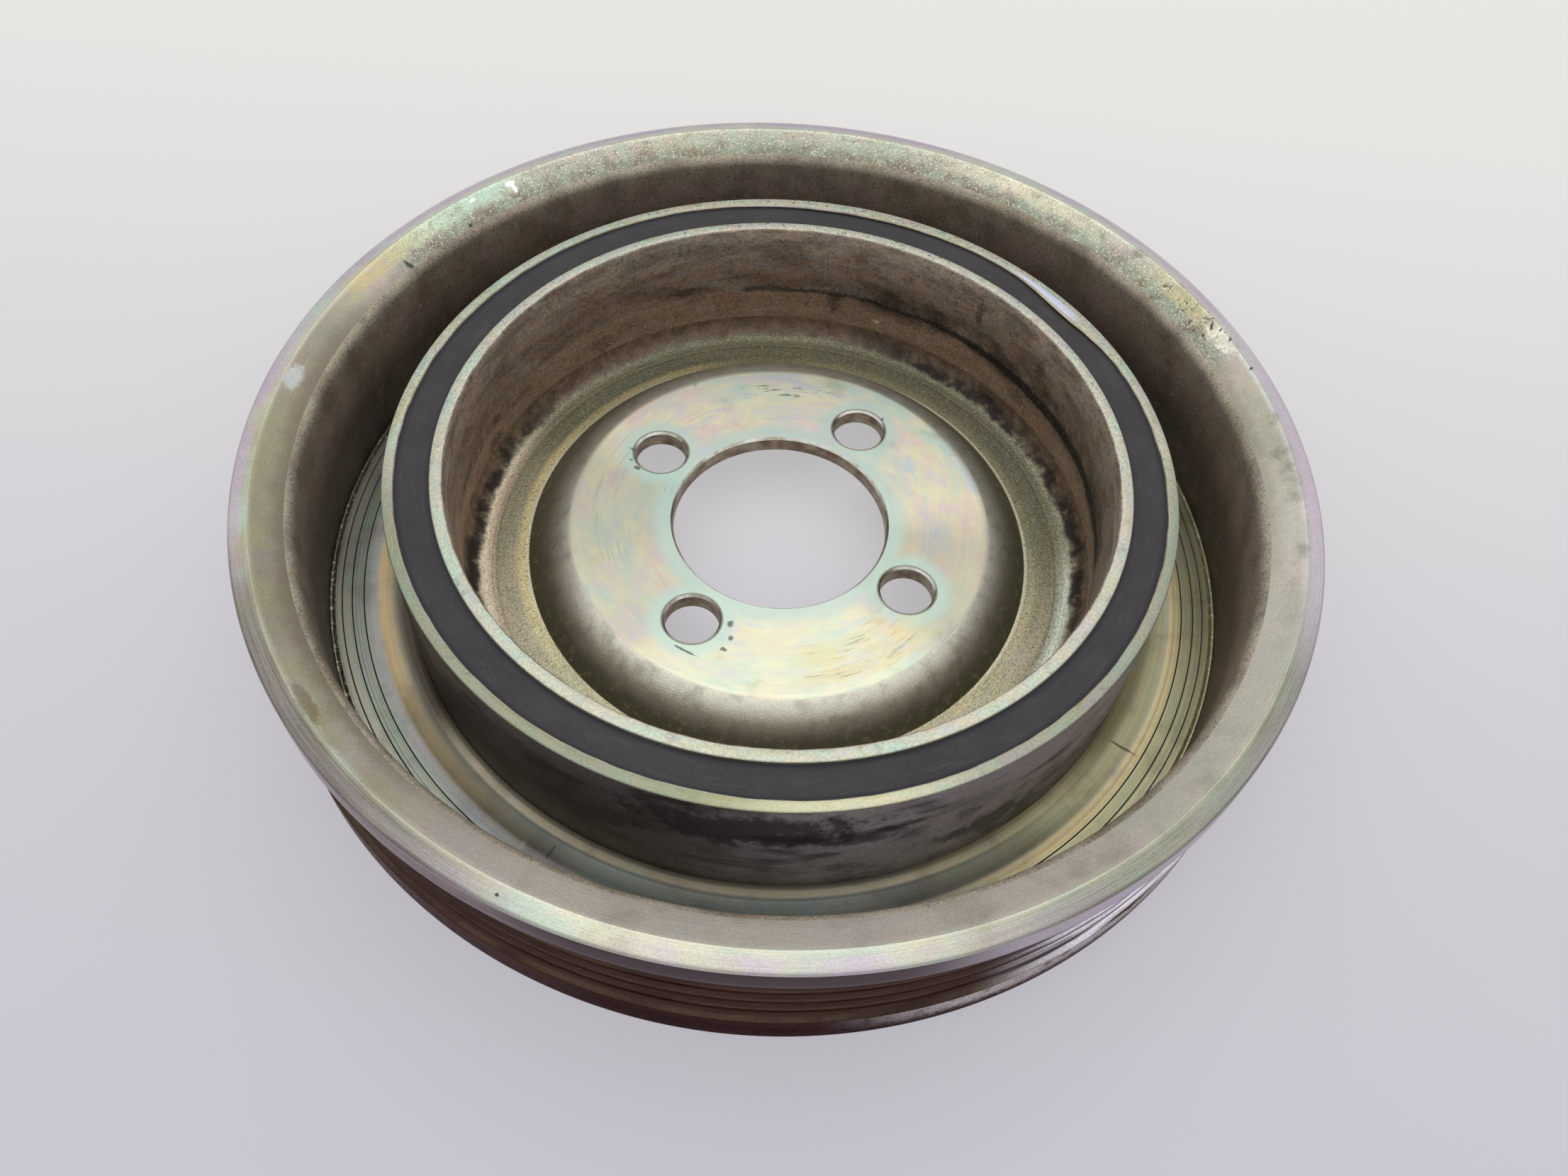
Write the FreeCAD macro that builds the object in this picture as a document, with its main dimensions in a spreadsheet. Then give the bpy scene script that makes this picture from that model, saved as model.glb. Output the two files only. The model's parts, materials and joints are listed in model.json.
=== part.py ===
import FreeCAD, Part
import math
import os
from types import SimpleNamespace
import Sketcher

# Crankshaft pulley with a bonded rubber ring between its pressed hub and its grooved rim.
# Millimetres. The origin is the centre of the bore at the face that seats on the crankshaft.
# +Z runs along the shaft's axis, out of the cup; the pulley lies on its rim's underside.

SIZES = (
    # Hub: the seat and its holes
    ("bore_diameter", 36.0),
    ("sheet_thickness", 3.2),
    ("facing_cut", 0.3),
    ("bolt_circle_inset", 7.0),
    ("bolt_hole_diameter", 8.8),
    ("bolt_count", 4),
    ("bolt_start_angle", 45.0),
    ("hole_chamfer", 0.35),
    ("bore_chamfer", 0.4),
    # Hub: the shoulder under the seat, the trough round it and the cup's wall
    ("shoulder_foot_reach", 17.3),
    ("shoulder_drop", 5.8),
    ("shoulder_angle", 46.0),
    ("shoulder_radius", 8.0),
    ("trough_width", 10.5),
    ("trough_angle", 10.5),
    ("trough_radius", 3.6),
    ("cup_wall", 2.1),
    ("cup_height", 20.3),
    ("rim_edge_chamfer", 0.25),
    # Rubber ring and the sleeve round it
    ("rubber_thickness", 5.3),
    ("rubber_foot_clearance", 0.25),
    ("rubber_dish", 0.3),
    ("rubber_setback", 0.4),
    ("sleeve_thickness", 1.8),
    ("sleeve_setback", 0.3),
    # Pulley rim: the web and the wall behind the grooves
    ("base_drop", 8.2),
    ("web_thickness", 3.75),
    ("web_width", 13.0),
    ("rim_wall", 4.2),
    ("web_dish_start", 2.2),
    ("web_dish_width", 3.3),
    ("web_dish_depth", 0.25),
    ("web_line_first", 1.9),
    ("web_line_second", 3.5),
    ("web_line_third", 5.4),
    ("web_line_width", 0.4),
    ("web_line_depth", 0.35),
    # Pulley rim: the belt grooves
    ("groove_count", 5),
    ("groove_pitch", 3.56),
    ("groove_depth", 2.9),
    ("groove_angle", 40.0),
    ("rib_flat", 1.0),
    # Pulley rim: the lip over the grooves and the flange under them
    ("lip_height", 1.6),
    ("lip_thickness", 4.9),
    ("lip_face_width", 2.9),
    ("lip_face_rise", 0.4),
    ("lip_cone_angle", 26.6),
    ("lip_edge_radius", 0.6),
    ("lip_inner_radius", 2.2),
    ("flange_height", 0.55),
    ("flange_thickness", 7.0),
    ("flange_foot_radius", 1.0),
)

SHEET_NAME = "Sizes"
START, END = 1, 2
ORIGIN_POINT = (-1, 1)
TOLERANCE = 1e-5


class Size:
    """A length or angle: its number now, and the expression that ties it to the sheet."""

    def __init__(self, number, text):
        self.number = number
        self.text = text

    def __add__(self, other):
        other = as_size(other)
        return Size(self.number + other.number, f"({self.text} + {other.text})")

    def __sub__(self, other):
        other = as_size(other)
        return Size(self.number - other.number, f"({self.text} - {other.text})")

    def __mul__(self, other):
        other = as_size(other)
        return Size(self.number * other.number, f"({self.text} * {other.text})")

    def __truediv__(self, other):
        other = as_size(other)
        return Size(self.number / other.number, f"({self.text} / {other.text})")

    def __neg__(self):
        return Size(-self.number, f"(0 - {self.text})")


def as_size(value):
    return value if isinstance(value, Size) else Size(float(value), repr(value))


def sine(angle):
    return Size(math.sin(math.radians(angle.number)), f"sin({angle.text} * 1deg)")


def cosine(angle):
    return Size(math.cos(math.radians(angle.number)), f"cos({angle.text} * 1deg)")


def tangent(angle):
    return Size(math.tan(math.radians(angle.number)), f"tan({angle.text} * 1deg)")


def fill_sheet(doc):
    """Writes the driving sizes to a spreadsheet and returns them by name."""
    sheet = doc.addObject("Spreadsheet::Sheet", SHEET_NAME)
    for row, (alias, value) in enumerate(SIZES, start=1):
        sheet.set(f"A{row}", alias.replace("_", " "))
        sheet.set(f"B{row}", str(value))
        sheet.setAlias(f"B{row}", alias)
    doc.recompute()
    sizes = {alias: Size(float(value), f"{SHEET_NAME}.{alias}") for alias, value in SIZES}
    return SimpleNamespace(**sizes)


def derived_sizes(size):
    """Radii and heights worked outwards from the bore, each from the last and a named size."""
    shared = SimpleNamespace(zero=Size(0.0, "0"))

    shared.bore_radius = size.bore_diameter / 2
    shared.bolt_circle_radius = shared.bore_radius + size.bolt_circle_inset
    shared.foot_radius = shared.bolt_circle_radius + size.shoulder_foot_reach
    shared.cup_inner = shared.foot_radius + size.trough_width
    shared.cup_outer = shared.cup_inner + size.cup_wall
    shared.sleeve_inner = shared.cup_outer + size.rubber_thickness
    shared.sleeve_outer = shared.sleeve_inner + size.sleeve_thickness
    shared.rim_inner = shared.sleeve_outer + size.web_width
    shared.groove_floor = shared.rim_inner + size.rim_wall
    shared.rib_radius = shared.groove_floor + size.groove_depth

    shared.seat_top = size.sheet_thickness - size.facing_cut
    shared.foot_height = shared.seat_top - size.shoulder_drop
    shared.sleeve_top = size.cup_height - size.sleeve_setback
    shared.base = -size.base_drop
    shared.web_top = shared.base + size.web_thickness

    # The sheet's underside runs parallel to its top; the cup's wall rises from its outer corner.
    mean_angle = (size.shoulder_angle + size.trough_angle) / 2
    half_turn = (size.shoulder_angle - size.trough_angle) / 2
    reach = size.sheet_thickness / cosine(half_turn)
    shared.foot_under = (
        shared.foot_radius - reach * sine(mean_angle),
        shared.foot_height - reach * cosine(mean_angle),
    )
    fall = (shared.cup_outer - shared.foot_under[0]) * tangent(size.trough_angle)
    shared.cup_corner = (shared.cup_outer, shared.foot_under[1] - fall)
    shared.cup_corner_radius = size.trough_radius + size.cup_wall
    corner_rise = shared.cup_corner_radius * tangent((size.trough_angle + 90) / 2)
    shared.straight_wall = shared.cup_corner[1] + corner_rise

    half_angle = size.groove_angle / 2
    shared.flank = tangent(half_angle)
    shared.half_mouth = (size.groove_pitch - size.rib_flat) / 2
    shared.flange_mouth = shared.base + size.flange_thickness + size.flange_height * shared.flank
    shared.lowest_groove = shared.flange_mouth + shared.half_mouth
    shared.highest_groove = shared.lowest_groove + (size.groove_count - 1) * size.groove_pitch
    return shared


def origin_feature(body, role):
    """The body's own origin plane or axis with this role."""
    return next(part for part in body.Origin.OriginFeatures if part.Role == role)


def new_body(doc, label):
    body = doc.addObject("PartDesign::Body", label)
    body.Label = label
    body.Placement = FreeCAD.Placement()
    return body


def tie_point(sketch, geometry, position, across, up):
    """Holds one point of the sketch at two sizes, measured from the sketch's origin."""
    for kind, size in (("DistanceX", across), ("DistanceY", up)):
        constraint = Sketcher.Constraint(kind, *ORIGIN_POINT, geometry, position, size.number)
        index = sketch.addConstraint(constraint)
        sketch.setExpression(f"Constraints[{index}]", size.text)


def attached_sketch(body, name, plane_role):
    sketch = body.newObject("Sketcher::SketchObject", name)
    sketch.AttachmentSupport = [(origin_feature(body, plane_role), "")]
    sketch.MapMode = "FlatFace"
    return sketch


def add_edge(sketch, first, second, sag):
    """Adds a line, or an arc that hollows the outline by its sag; returns its two end positions."""
    if sag is None:
        sketch.addGeometry(Part.LineSegment(first, second), False)
        return START, END
    along = second - first
    inward = FreeCAD.Vector(-along.y, along.x, 0).normalize()
    middle = (first + second) * 0.5 + inward * sag.number
    edge = sketch.addGeometry(Part.Arc(first, middle, second), False)
    chord = abs(along.x)
    forward = sketch.getPoint(edge, START).distanceToPoint(first) < chord / 2
    return (START, END) if forward else (END, START)


def section(body, name, corners, sags=None):
    """A closed outline in the XZ plane, walked so that the material is on its left.

    Each corner is a radius and a height. sags gives, for an edge between two corners at the
    same height, how far that edge is hollowed as an arc.
    """
    sags = sags or {}
    sketch = attached_sketch(body, name, "XZ_Plane")
    points = [FreeCAD.Vector(across.number, up.number, 0) for across, up in corners]
    ends = []
    for index, first in enumerate(points):
        second = points[(index + 1) % len(points)]
        ends.append(add_edge(sketch, first, second, sags.get(index)))
    for index, (_, last) in enumerate(ends):
        following = (index + 1) % len(points)
        first = ends[following][0]
        sketch.addConstraint(Sketcher.Constraint("Coincident", index, last, following, first))
    for index, (across, up) in enumerate(corners):
        tie_point(sketch, index, ends[index][0], across, up)
    for index, sag in sags.items():
        chord = corners[(index + 1) % len(corners)][0] - corners[index][0]
        radius = (chord * chord / 4 + sag * sag) / (sag * 2)
        constraint = sketch.addConstraint(Sketcher.Constraint("Radius", index, abs(radius.number)))
        sketch.setExpression(f"Constraints[{constraint}]", radius.text)
    return sketch


def turn(body, name, sketch):
    """Revolves a section once round the shaft's axis."""
    solid = body.newObject("PartDesign::Revolution", name)
    solid.Profile = sketch
    solid.ReferenceAxis = (sketch, ["V_Axis"])
    solid.Angle = 360
    body.Document.recompute()
    return solid


def checked_cut(body, feature, before):
    """Stops if a cut took nothing away."""
    body.Document.recompute()
    if feature.Shape.Volume > before - TOLERANCE:
        raise RuntimeError(f"{feature.Label} cuts nothing")
    return feature


def turned_cut(body, name, corners):
    """Cuts a section away all round the shaft's axis."""
    before = body.Shape.Volume
    sketch = section(body, name + "Section", corners)
    groove = body.newObject("PartDesign::Groove", name)
    groove.Profile = sketch
    groove.ReferenceAxis = (sketch, ["V_Axis"])
    groove.Angle = 360
    return checked_cut(body, groove, before)


def circle_edges(shape, radius, height):
    """Names of the full circles of this radius at this height."""
    names = []
    for number, edge in enumerate(shape.Edges, start=1):
        curve = edge.Curve
        if not isinstance(curve, Part.Circle):
            continue
        right_size = abs(curve.Radius - radius.number) < TOLERANCE
        if right_size and abs(curve.Center.z - height.number) < TOLERANCE:
            names.append(f"Edge{number}")
    if not names:
        raise RuntimeError(f"no circle of radius {radius.number} at height {height.number}")
    return names


def round_edge(body, name, corner, radius):
    base = body.Tip
    fillet = body.newObject("PartDesign::Fillet", name)
    fillet.Base = (base, circle_edges(base.Shape, *corner))
    fillet.setExpression("Radius", radius.text)
    body.Document.recompute()
    return fillet


def bevel_edges(body, name, corners, width):
    base = body.Tip
    edges = [edge for corner in corners for edge in circle_edges(base.Shape, *corner)]
    chamfer = body.newObject("PartDesign::Chamfer", name)
    chamfer.Base = (base, edges)
    chamfer.setExpression("Size", width.text)
    body.Document.recompute()
    return chamfer


def make_hub(doc, size, shared):
    """Pressed steel cup: a raised seat with a bore and a ring of bolt holes, a trough and a wall."""
    body = new_body(doc, "hub")
    blank_top = size.sheet_thickness
    shoulder_edge = shared.foot_radius - (blank_top - shared.foot_height) / tangent(size.shoulder_angle)
    seat_under = shoulder_edge - size.sheet_thickness * tangent(size.shoulder_angle / 2)
    wall_foot = shared.foot_height - size.trough_width * tangent(size.trough_angle)
    outline = (
        (shared.bore_radius, shared.zero),
        (seat_under, shared.zero),
        shared.foot_under,
        shared.cup_corner,
        (shared.cup_outer, size.cup_height),
        (shared.cup_inner, size.cup_height),
        (shared.cup_inner, wall_foot),
        (shared.foot_radius, shared.foot_height),
        (shoulder_edge, blank_top),
        (shared.bore_radius, blank_top),
    )
    turn(body, "HubBlank", section(body, "HubSection", outline))
    round_edge(body, "ShoulderRound", (shoulder_edge, blank_top), size.shoulder_radius)
    inside_bend = size.shoulder_radius - size.sheet_thickness
    round_edge(body, "ShoulderInnerRound", (seat_under, shared.zero), inside_bend)
    round_edge(body, "FootRound", shared.foot_under, size.sheet_thickness)
    round_edge(body, "TroughRound", (shared.cup_inner, wall_foot), size.trough_radius)
    round_edge(body, "CupCornerRound", shared.cup_corner, shared.cup_corner_radius)

    facing = (
        (shared.zero, shared.seat_top),
        (shared.foot_radius, shared.seat_top),
        (shared.foot_radius, blank_top + size.facing_cut),
        (shared.zero, blank_top + size.facing_cut),
    )
    turned_cut(body, "SeatFacing", facing)
    cut_bolt_holes(body, size, shared)
    rim_edges = ((shared.cup_outer, size.cup_height), (shared.cup_inner, size.cup_height))
    bevel_edges(body, "CupRimBevel", rim_edges, size.rim_edge_chamfer)
    bevel_edges(body, "BoreBevel", ((shared.bore_radius, shared.seat_top),), size.bore_chamfer)
    bevel_edges(body, "HoleBevel", ((size.bolt_hole_diameter / 2, shared.seat_top),), size.hole_chamfer)
    return body


def cut_bolt_holes(body, size, shared):
    """One hole through the seat, repeated round the bolt circle."""
    before = body.Shape.Volume
    sketch = attached_sketch(body, "BoltHoleSketch", "XY_Plane")
    across = shared.bolt_circle_radius * cosine(size.bolt_start_angle)
    up = shared.bolt_circle_radius * sine(size.bolt_start_angle)
    hole_radius = size.bolt_hole_diameter / 2
    centre = FreeCAD.Vector(across.number, up.number, 0)
    circle = sketch.addGeometry(Part.Circle(centre, FreeCAD.Vector(0, 0, 1), hole_radius.number), False)
    tie_point(sketch, circle, 3, across, up)
    constraint = sketch.addConstraint(Sketcher.Constraint("Radius", circle, hole_radius.number))
    sketch.setExpression(f"Constraints[{constraint}]", hole_radius.text)

    pocket = body.newObject("PartDesign::Pocket", "BoltHole")
    pocket.Profile = sketch
    pocket.setExpression("Length", shared.seat_top.text)
    pocket.Reversed = True
    checked_cut(body, pocket, before)

    before = body.Shape.Volume
    pattern = body.newObject("PartDesign::PolarPattern", "BoltHoles")
    pattern.Originals = [pocket]
    pattern.Axis = (origin_feature(body, "Z_Axis"), [""])
    pattern.Angle = 360
    pattern.setExpression("Occurrences", size.bolt_count.text)
    body.Tip = pattern
    checked_cut(body, pattern, before)


def make_rubber_ring(doc, size, shared):
    """Rubber bonded between the cup's wall and the sleeve, with both ends slightly hollow."""
    body = new_body(doc, "rubber_ring")
    top = shared.sleeve_top - size.rubber_setback
    bottom = shared.straight_wall + size.rubber_foot_clearance
    outline = (
        (shared.cup_outer, bottom),
        (shared.sleeve_inner, bottom),
        (shared.sleeve_inner, top),
        (shared.cup_outer, top),
    )
    hollow_ends = {0: size.rubber_dish, 2: size.rubber_dish}
    turn(body, "RubberBlank", section(body, "RubberSection", outline, hollow_ends))
    return body


def make_sleeve(doc, size, shared):
    """Thin steel sleeve round the rubber; its lower end is pressed into the pulley's web."""
    body = new_body(doc, "sleeve")
    outline = (
        (shared.sleeve_inner, shared.base),
        (shared.sleeve_outer, shared.base),
        (shared.sleeve_outer, shared.sleeve_top),
        (shared.sleeve_inner, shared.sleeve_top),
    )
    turn(body, "SleeveBlank", section(body, "SleeveSection", outline))
    rim_edges = ((shared.sleeve_inner, shared.sleeve_top), (shared.sleeve_outer, shared.sleeve_top))
    bevel_edges(body, "SleeveRimBevel", rim_edges, size.rim_edge_chamfer)
    return body


def make_pulley_rim(doc, size, shared):
    """Turned rim: a web, a wall, belt grooves outside it, a lip over them and a flange under them."""
    body = new_body(doc, "pulley_rim")
    flange_radius = shared.rib_radius + size.flange_height
    lip_radius = shared.rib_radius + size.lip_height
    lip_mouth = shared.highest_groove + shared.half_mouth
    lip_edge = lip_mouth + size.lip_height * shared.flank
    lip_top = lip_edge + size.lip_thickness
    crest_radius = lip_radius - size.lip_face_width
    crest_height = lip_top + size.lip_face_rise
    cone_foot = crest_height - (crest_radius - shared.rim_inner) * tangent(size.lip_cone_angle)
    dish_inside = shared.sleeve_outer + size.web_dish_start
    dish_outside = dish_inside + size.web_dish_width

    outline = (
        (shared.sleeve_outer, shared.base),
        (flange_radius, shared.base),
        (flange_radius, shared.base + size.flange_thickness),
        (shared.rib_radius, shared.flange_mouth),
        (shared.rib_radius, lip_mouth),
        (lip_radius, lip_edge),
        (lip_radius, lip_top),
        (crest_radius, crest_height),
        (shared.rim_inner, cone_foot),
        (shared.rim_inner, shared.web_top),
        (dish_outside, shared.web_top),
        (dish_inside, shared.web_top),
        (shared.sleeve_outer, shared.web_top),
    )
    web_dish = {outline.index((dish_outside, shared.web_top)): size.web_dish_depth}
    turn(body, "RimBlank", section(body, "RimSection", outline, web_dish))
    cut_belt_grooves(body, size, shared)
    cut_web_lines(body, size, shared)
    round_edge(body, "LipInnerRound", (shared.rim_inner, cone_foot), size.lip_inner_radius)
    round_edge(body, "LipEdgeRound", (lip_radius, lip_top), size.lip_edge_radius)
    round_edge(body, "FlangeFootRound", (flange_radius, shared.base), size.flange_foot_radius)
    return body


def cut_belt_grooves(body, size, shared):
    """One V groove at the lowest place, repeated up the rim at the belt's pitch."""
    half_floor = shared.half_mouth - size.groove_depth * shared.flank
    middle = shared.lowest_groove
    outline = (
        (shared.groove_floor, middle - half_floor),
        (shared.rib_radius, middle - shared.half_mouth),
        (shared.rib_radius, middle + shared.half_mouth),
        (shared.groove_floor, middle + half_floor),
    )
    groove = turned_cut(body, "BeltGroove", outline)
    before = body.Shape.Volume
    pattern = body.newObject("PartDesign::LinearPattern", "BeltGrooves")
    pattern.Originals = [groove]
    pattern.Direction = (origin_feature(body, "Z_Axis"), [""])
    pattern.Mode = "Spacing"
    pattern.setExpression("Offset", size.groove_pitch.text)
    pattern.setExpression("Occurrences", size.groove_count.text)
    body.Tip = pattern
    checked_cut(body, pattern, before)


def cut_web_lines(body, size, shared):
    """Three fine turned lines in the web, set in from the rim's wall."""
    insets = (size.web_line_first, size.web_line_second, size.web_line_third)
    for number, inset in enumerate(insets, start=1):
        middle = shared.rim_inner - inset
        outline = (
            (middle, shared.web_top - size.web_line_depth),
            (middle + size.web_line_width / 2, shared.web_top),
            (middle - size.web_line_width / 2, shared.web_top),
        )
        turned_cut(body, f"WebLine{number}", outline)


def check_document(doc, bodies):
    """Stops if any object failed or any piece is not one valid solid."""
    for thing in doc.Objects:
        if "Invalid" in thing.State or "Error" in thing.State:
            raise RuntimeError(f"{thing.Label} failed: {thing.State}")
    for body in bodies:
        shape = body.Shape
        if shape.isNull() or not shape.isValid() or len(shape.Solids) != 1:
            raise RuntimeError(f"{body.Label} is not one valid solid")


def main():
    doc = FreeCAD.newDocument("CrankshaftPulley")
    size = fill_sheet(doc)
    shared = derived_sizes(size)
    bodies = [
        make_hub(doc, size, shared),
        make_rubber_ring(doc, size, shared),
        make_sleeve(doc, size, shared),
        make_pulley_rim(doc, size, shared),
    ]
    doc.recompute()
    check_document(doc, bodies)
    os.makedirs("parts", exist_ok=True)
    for body in bodies:
        body.Shape.exportStep(f"parts/{body.Label}.step")
        print(f"{body.Label}: {body.Shape.Volume:.1f} mm3")


main()
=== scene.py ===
import json
import math

import bmesh
import bpy
import numpy as np
from mathutils import Matrix


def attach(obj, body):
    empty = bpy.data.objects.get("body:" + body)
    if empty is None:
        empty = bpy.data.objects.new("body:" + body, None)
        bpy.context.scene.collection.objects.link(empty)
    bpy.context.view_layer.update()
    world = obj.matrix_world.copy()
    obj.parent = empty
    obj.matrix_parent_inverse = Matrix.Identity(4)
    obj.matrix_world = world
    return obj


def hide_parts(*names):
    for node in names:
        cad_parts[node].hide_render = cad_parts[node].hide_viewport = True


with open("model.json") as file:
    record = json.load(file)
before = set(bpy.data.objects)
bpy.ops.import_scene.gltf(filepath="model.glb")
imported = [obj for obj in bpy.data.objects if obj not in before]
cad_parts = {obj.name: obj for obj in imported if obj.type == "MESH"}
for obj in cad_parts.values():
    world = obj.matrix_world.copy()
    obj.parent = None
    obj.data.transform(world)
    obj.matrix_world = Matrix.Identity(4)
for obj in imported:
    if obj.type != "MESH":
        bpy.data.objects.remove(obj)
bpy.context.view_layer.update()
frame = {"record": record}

# Crankshaft pulley lying on white paper: pressed hub, bonded rubber ring, steel sleeve and
# grooved rim. Lengths in the section tables are millimetres, azimuths are degrees from +X.

MM = 0.001
SEGMENTS = 480
SMOOTH_BELOW = 28.0
LONGEST_STEP = 2.0

mounts = {mount["name"]: mount["dims"] for mount in frame["record"]["mounts"]}
BORE = mounts["crank_bore"]["r_mm"]
SEAT_TOP = mounts["crank_bore"]["length_mm"]
BOLT_CIRCLE = mounts["crank_bolts"]["pcd_mm"] / 2
BOLT_HOLE = mounts["crank_bolts"]["hole_r_mm"]
FIRST_HOLE, HOLE_PITCH = 45.0, 90.0

CUP_INSIDE, CUP_OUTSIDE, CUP_TOP = 52.8, 54.9, 20.3
RUBBER_FOOT, RUBBER_TOP, RUBBER_DIP = -1.39, 19.6, 0.3
SLEEVE_INSIDE, SLEEVE_OUTSIDE, SLEEVE_TOP = 60.2, 62.0, 20.0

BASE = -8.2
WEB_TOP = -4.45
WEB_LINES = (73.1, 71.5, 69.6)
LINE_HALF, LINE_DEPTH = 0.11, 0.17
DISH_MIDDLE, DISH_HALF, DISH_DEPTH = 65.85, 1.65, 0.1
BURR = 74.45
RIM_WALL = 75.0
GROOVE_FLOOR, RIB_TIPS, FLANGE_EDGE, LIP_EDGE = 79.2, 82.1, 82.65, 83.7
GROOVES, GROOVE_PITCH, LOWEST_GROOVE = 5, 3.56, 0.28


# Shapes

def arc(centre, radius, start, end, steps):
    """Points on a circle: centre + radius * (cos a, sin a), a stepped evenly from start to end."""
    angle = np.radians(np.linspace(start, end, steps + 1))
    return np.stack([centre[0] + radius * np.cos(angle), centre[1] + radius * np.sin(angle)], axis=1)


def corner_arc(before, corner, after, radius):
    """The arc that is tangent to both edges of a corner, from one tangent point to the other.

    The tangent points lie radius * tan(half the turn) from the corner, and the centre lies on
    the line that halves the corner, radius / cos(half the turn) away.
    """
    arriving = (corner - before) / np.linalg.norm(corner - before)
    leaving = (after - corner) / np.linalg.norm(after - corner)
    half_turn = math.acos(np.clip(arriving @ leaving, -1, 1)) / 2
    inward = (leaving - arriving) / np.linalg.norm(leaving - arriving)
    centre = corner + inward * radius / math.cos(half_turn)
    first = corner - arriving * radius * math.tan(half_turn) - centre
    last = corner + leaving * radius * math.tan(half_turn) - centre
    share = np.linspace(0, 1, 4 if radius < 0.3 else 9)[:, None]
    blend = first * (1 - share) + last * share
    return centre + radius * blend / np.linalg.norm(blend, axis=1)[:, None]


def section_path(corners, gap, closed=True):
    """Points along a section and the finish of each stretch between two of them.

    Each corner is (radius, height, rounding, finish of the edge that leaves it). Rounded corners
    become tangent arcs, and straight edges are cut into equal steps no longer than the gap.
    """
    places = [np.array(corner[:2], float) for corner in corners]
    pieces, finishes = [], []
    for index, (_, _, rounding, finish) in enumerate(corners):
        inside = closed or 0 < index < len(corners) - 1
        if rounding and inside:
            after = places[(index + 1) % len(places)]
            points = corner_arc(places[index - 1], places[index], after, rounding)
        else:
            points = places[index][None]
        pieces.append(points)
        finishes.append([finish] * len(points))
    points, names = [], []
    total = len(pieces)
    for index in range(total):
        points.append(pieces[index])
        names += finishes[index]
        if not closed and index == total - 1:
            break
        start, end = pieces[index][-1], pieces[(index + 1) % total][0]
        steps = max(1, int(np.ceil(np.linalg.norm(end - start) / gap)))
        share = np.linspace(0, 1, steps + 1)[1:-1, None]
        points.append(start * (1 - share) + end * share)
        names += [finishes[index][-1]] * (steps - 1)
    return np.concatenate(points), names


def azimuths():
    """One azimuth in degrees for each segment, from +X."""
    return np.arange(SEGMENTS) * 360.0 / SEGMENTS


def ripple(azimuth, seed, slowest, fastest):
    """Uneven wear round the axis: a sum of whole-numbered sine waves with random phases, about -1 to 1."""
    draw = np.random.default_rng(seed)
    waves = np.unique(draw.integers(slowest, fastest + 1, 24))
    phase = draw.uniform(0, 2 * np.pi, len(waves))
    angle = np.radians(azimuth)[..., None] * waves + phase
    return np.sin(angle).sum(axis=-1) / np.sqrt(len(waves)) / 1.4


def turned(path, wear=None):
    """Carries a section round the axis: (r cos a, r sin a, z) for every section point and azimuth."""
    azimuth = azimuths()[None, :]
    radius = np.repeat(path[:, :1], SEGMENTS, axis=1)
    height = np.repeat(path[:, 1:], SEGMENTS, axis=1)
    if wear:
        radius, height = wear(radius, height, np.repeat(azimuth, len(path), axis=0))
    angle = np.radians(azimuth)
    return np.stack([radius * np.cos(angle), radius * np.sin(angle), height], axis=2)


def grid_faces(rows, columns, rows_closed, columns_closed):
    """The quads between neighbouring points of a grid, as indices into its points in reading order."""
    row = np.arange(rows if rows_closed else rows - 1)[:, None]
    column = np.arange(columns if columns_closed else columns - 1)[None, :]
    below, beside = (row + 1) % rows, (column + 1) % columns
    corners = (
        row * columns + column, row * columns + beside, below * columns + beside, below * columns + column,
    )
    return np.stack([np.broadcast_to(c, (len(row), column.shape[1])) for c in corners], axis=2)


class Piece:
    """Collects grids of points, in millimetres, and joins them into one closed mesh."""

    def __init__(self):
        self.points, self.faces, self.finishes = [], [], []
        self.count = 0

    def add(self, grid, finishes, rows_closed=False, columns_closed=True):
        """Adds a grid; finishes holds one name for each row of quads, or one for all of them."""
        rows, columns = grid.shape[:2]
        quads = grid_faces(rows, columns, rows_closed, columns_closed)
        names = [finishes] * len(quads) if isinstance(finishes, str) else finishes[: len(quads)]
        self.points.append(grid.reshape(-1, 3))
        self.faces.append(quads.reshape(-1, 4) + self.count)
        self.finishes += [name for name in names for _ in range(quads.shape[1])]
        self.count += rows * columns

    def build(self, name, materials):
        mesh = bpy.data.meshes.new(name)
        mesh.from_pydata(np.concatenate(self.points) * MM, [], np.concatenate(self.faces))
        for material in materials.values():
            mesh.materials.append(material)
        slots = {finish: index for index, finish in enumerate(materials)}
        mesh.polygons.foreach_set("material_index", [slots[finish] for finish in self.finishes])
        shell = bmesh.new()
        shell.from_mesh(mesh)
        bmesh.ops.remove_doubles(shell, verts=shell.verts, dist=0.002 * MM)
        bmesh.ops.recalc_face_normals(shell, faces=shell.faces)
        shell.to_mesh(mesh)
        shell.free()
        mesh.shade_smooth()
        mesh.set_sharp_from_angle(angle=math.radians(SMOOTH_BELOW))
        piece = bpy.data.objects.new(name, mesh)
        bpy.context.collection.objects.link(piece)
        return piece


# Nodes

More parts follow.
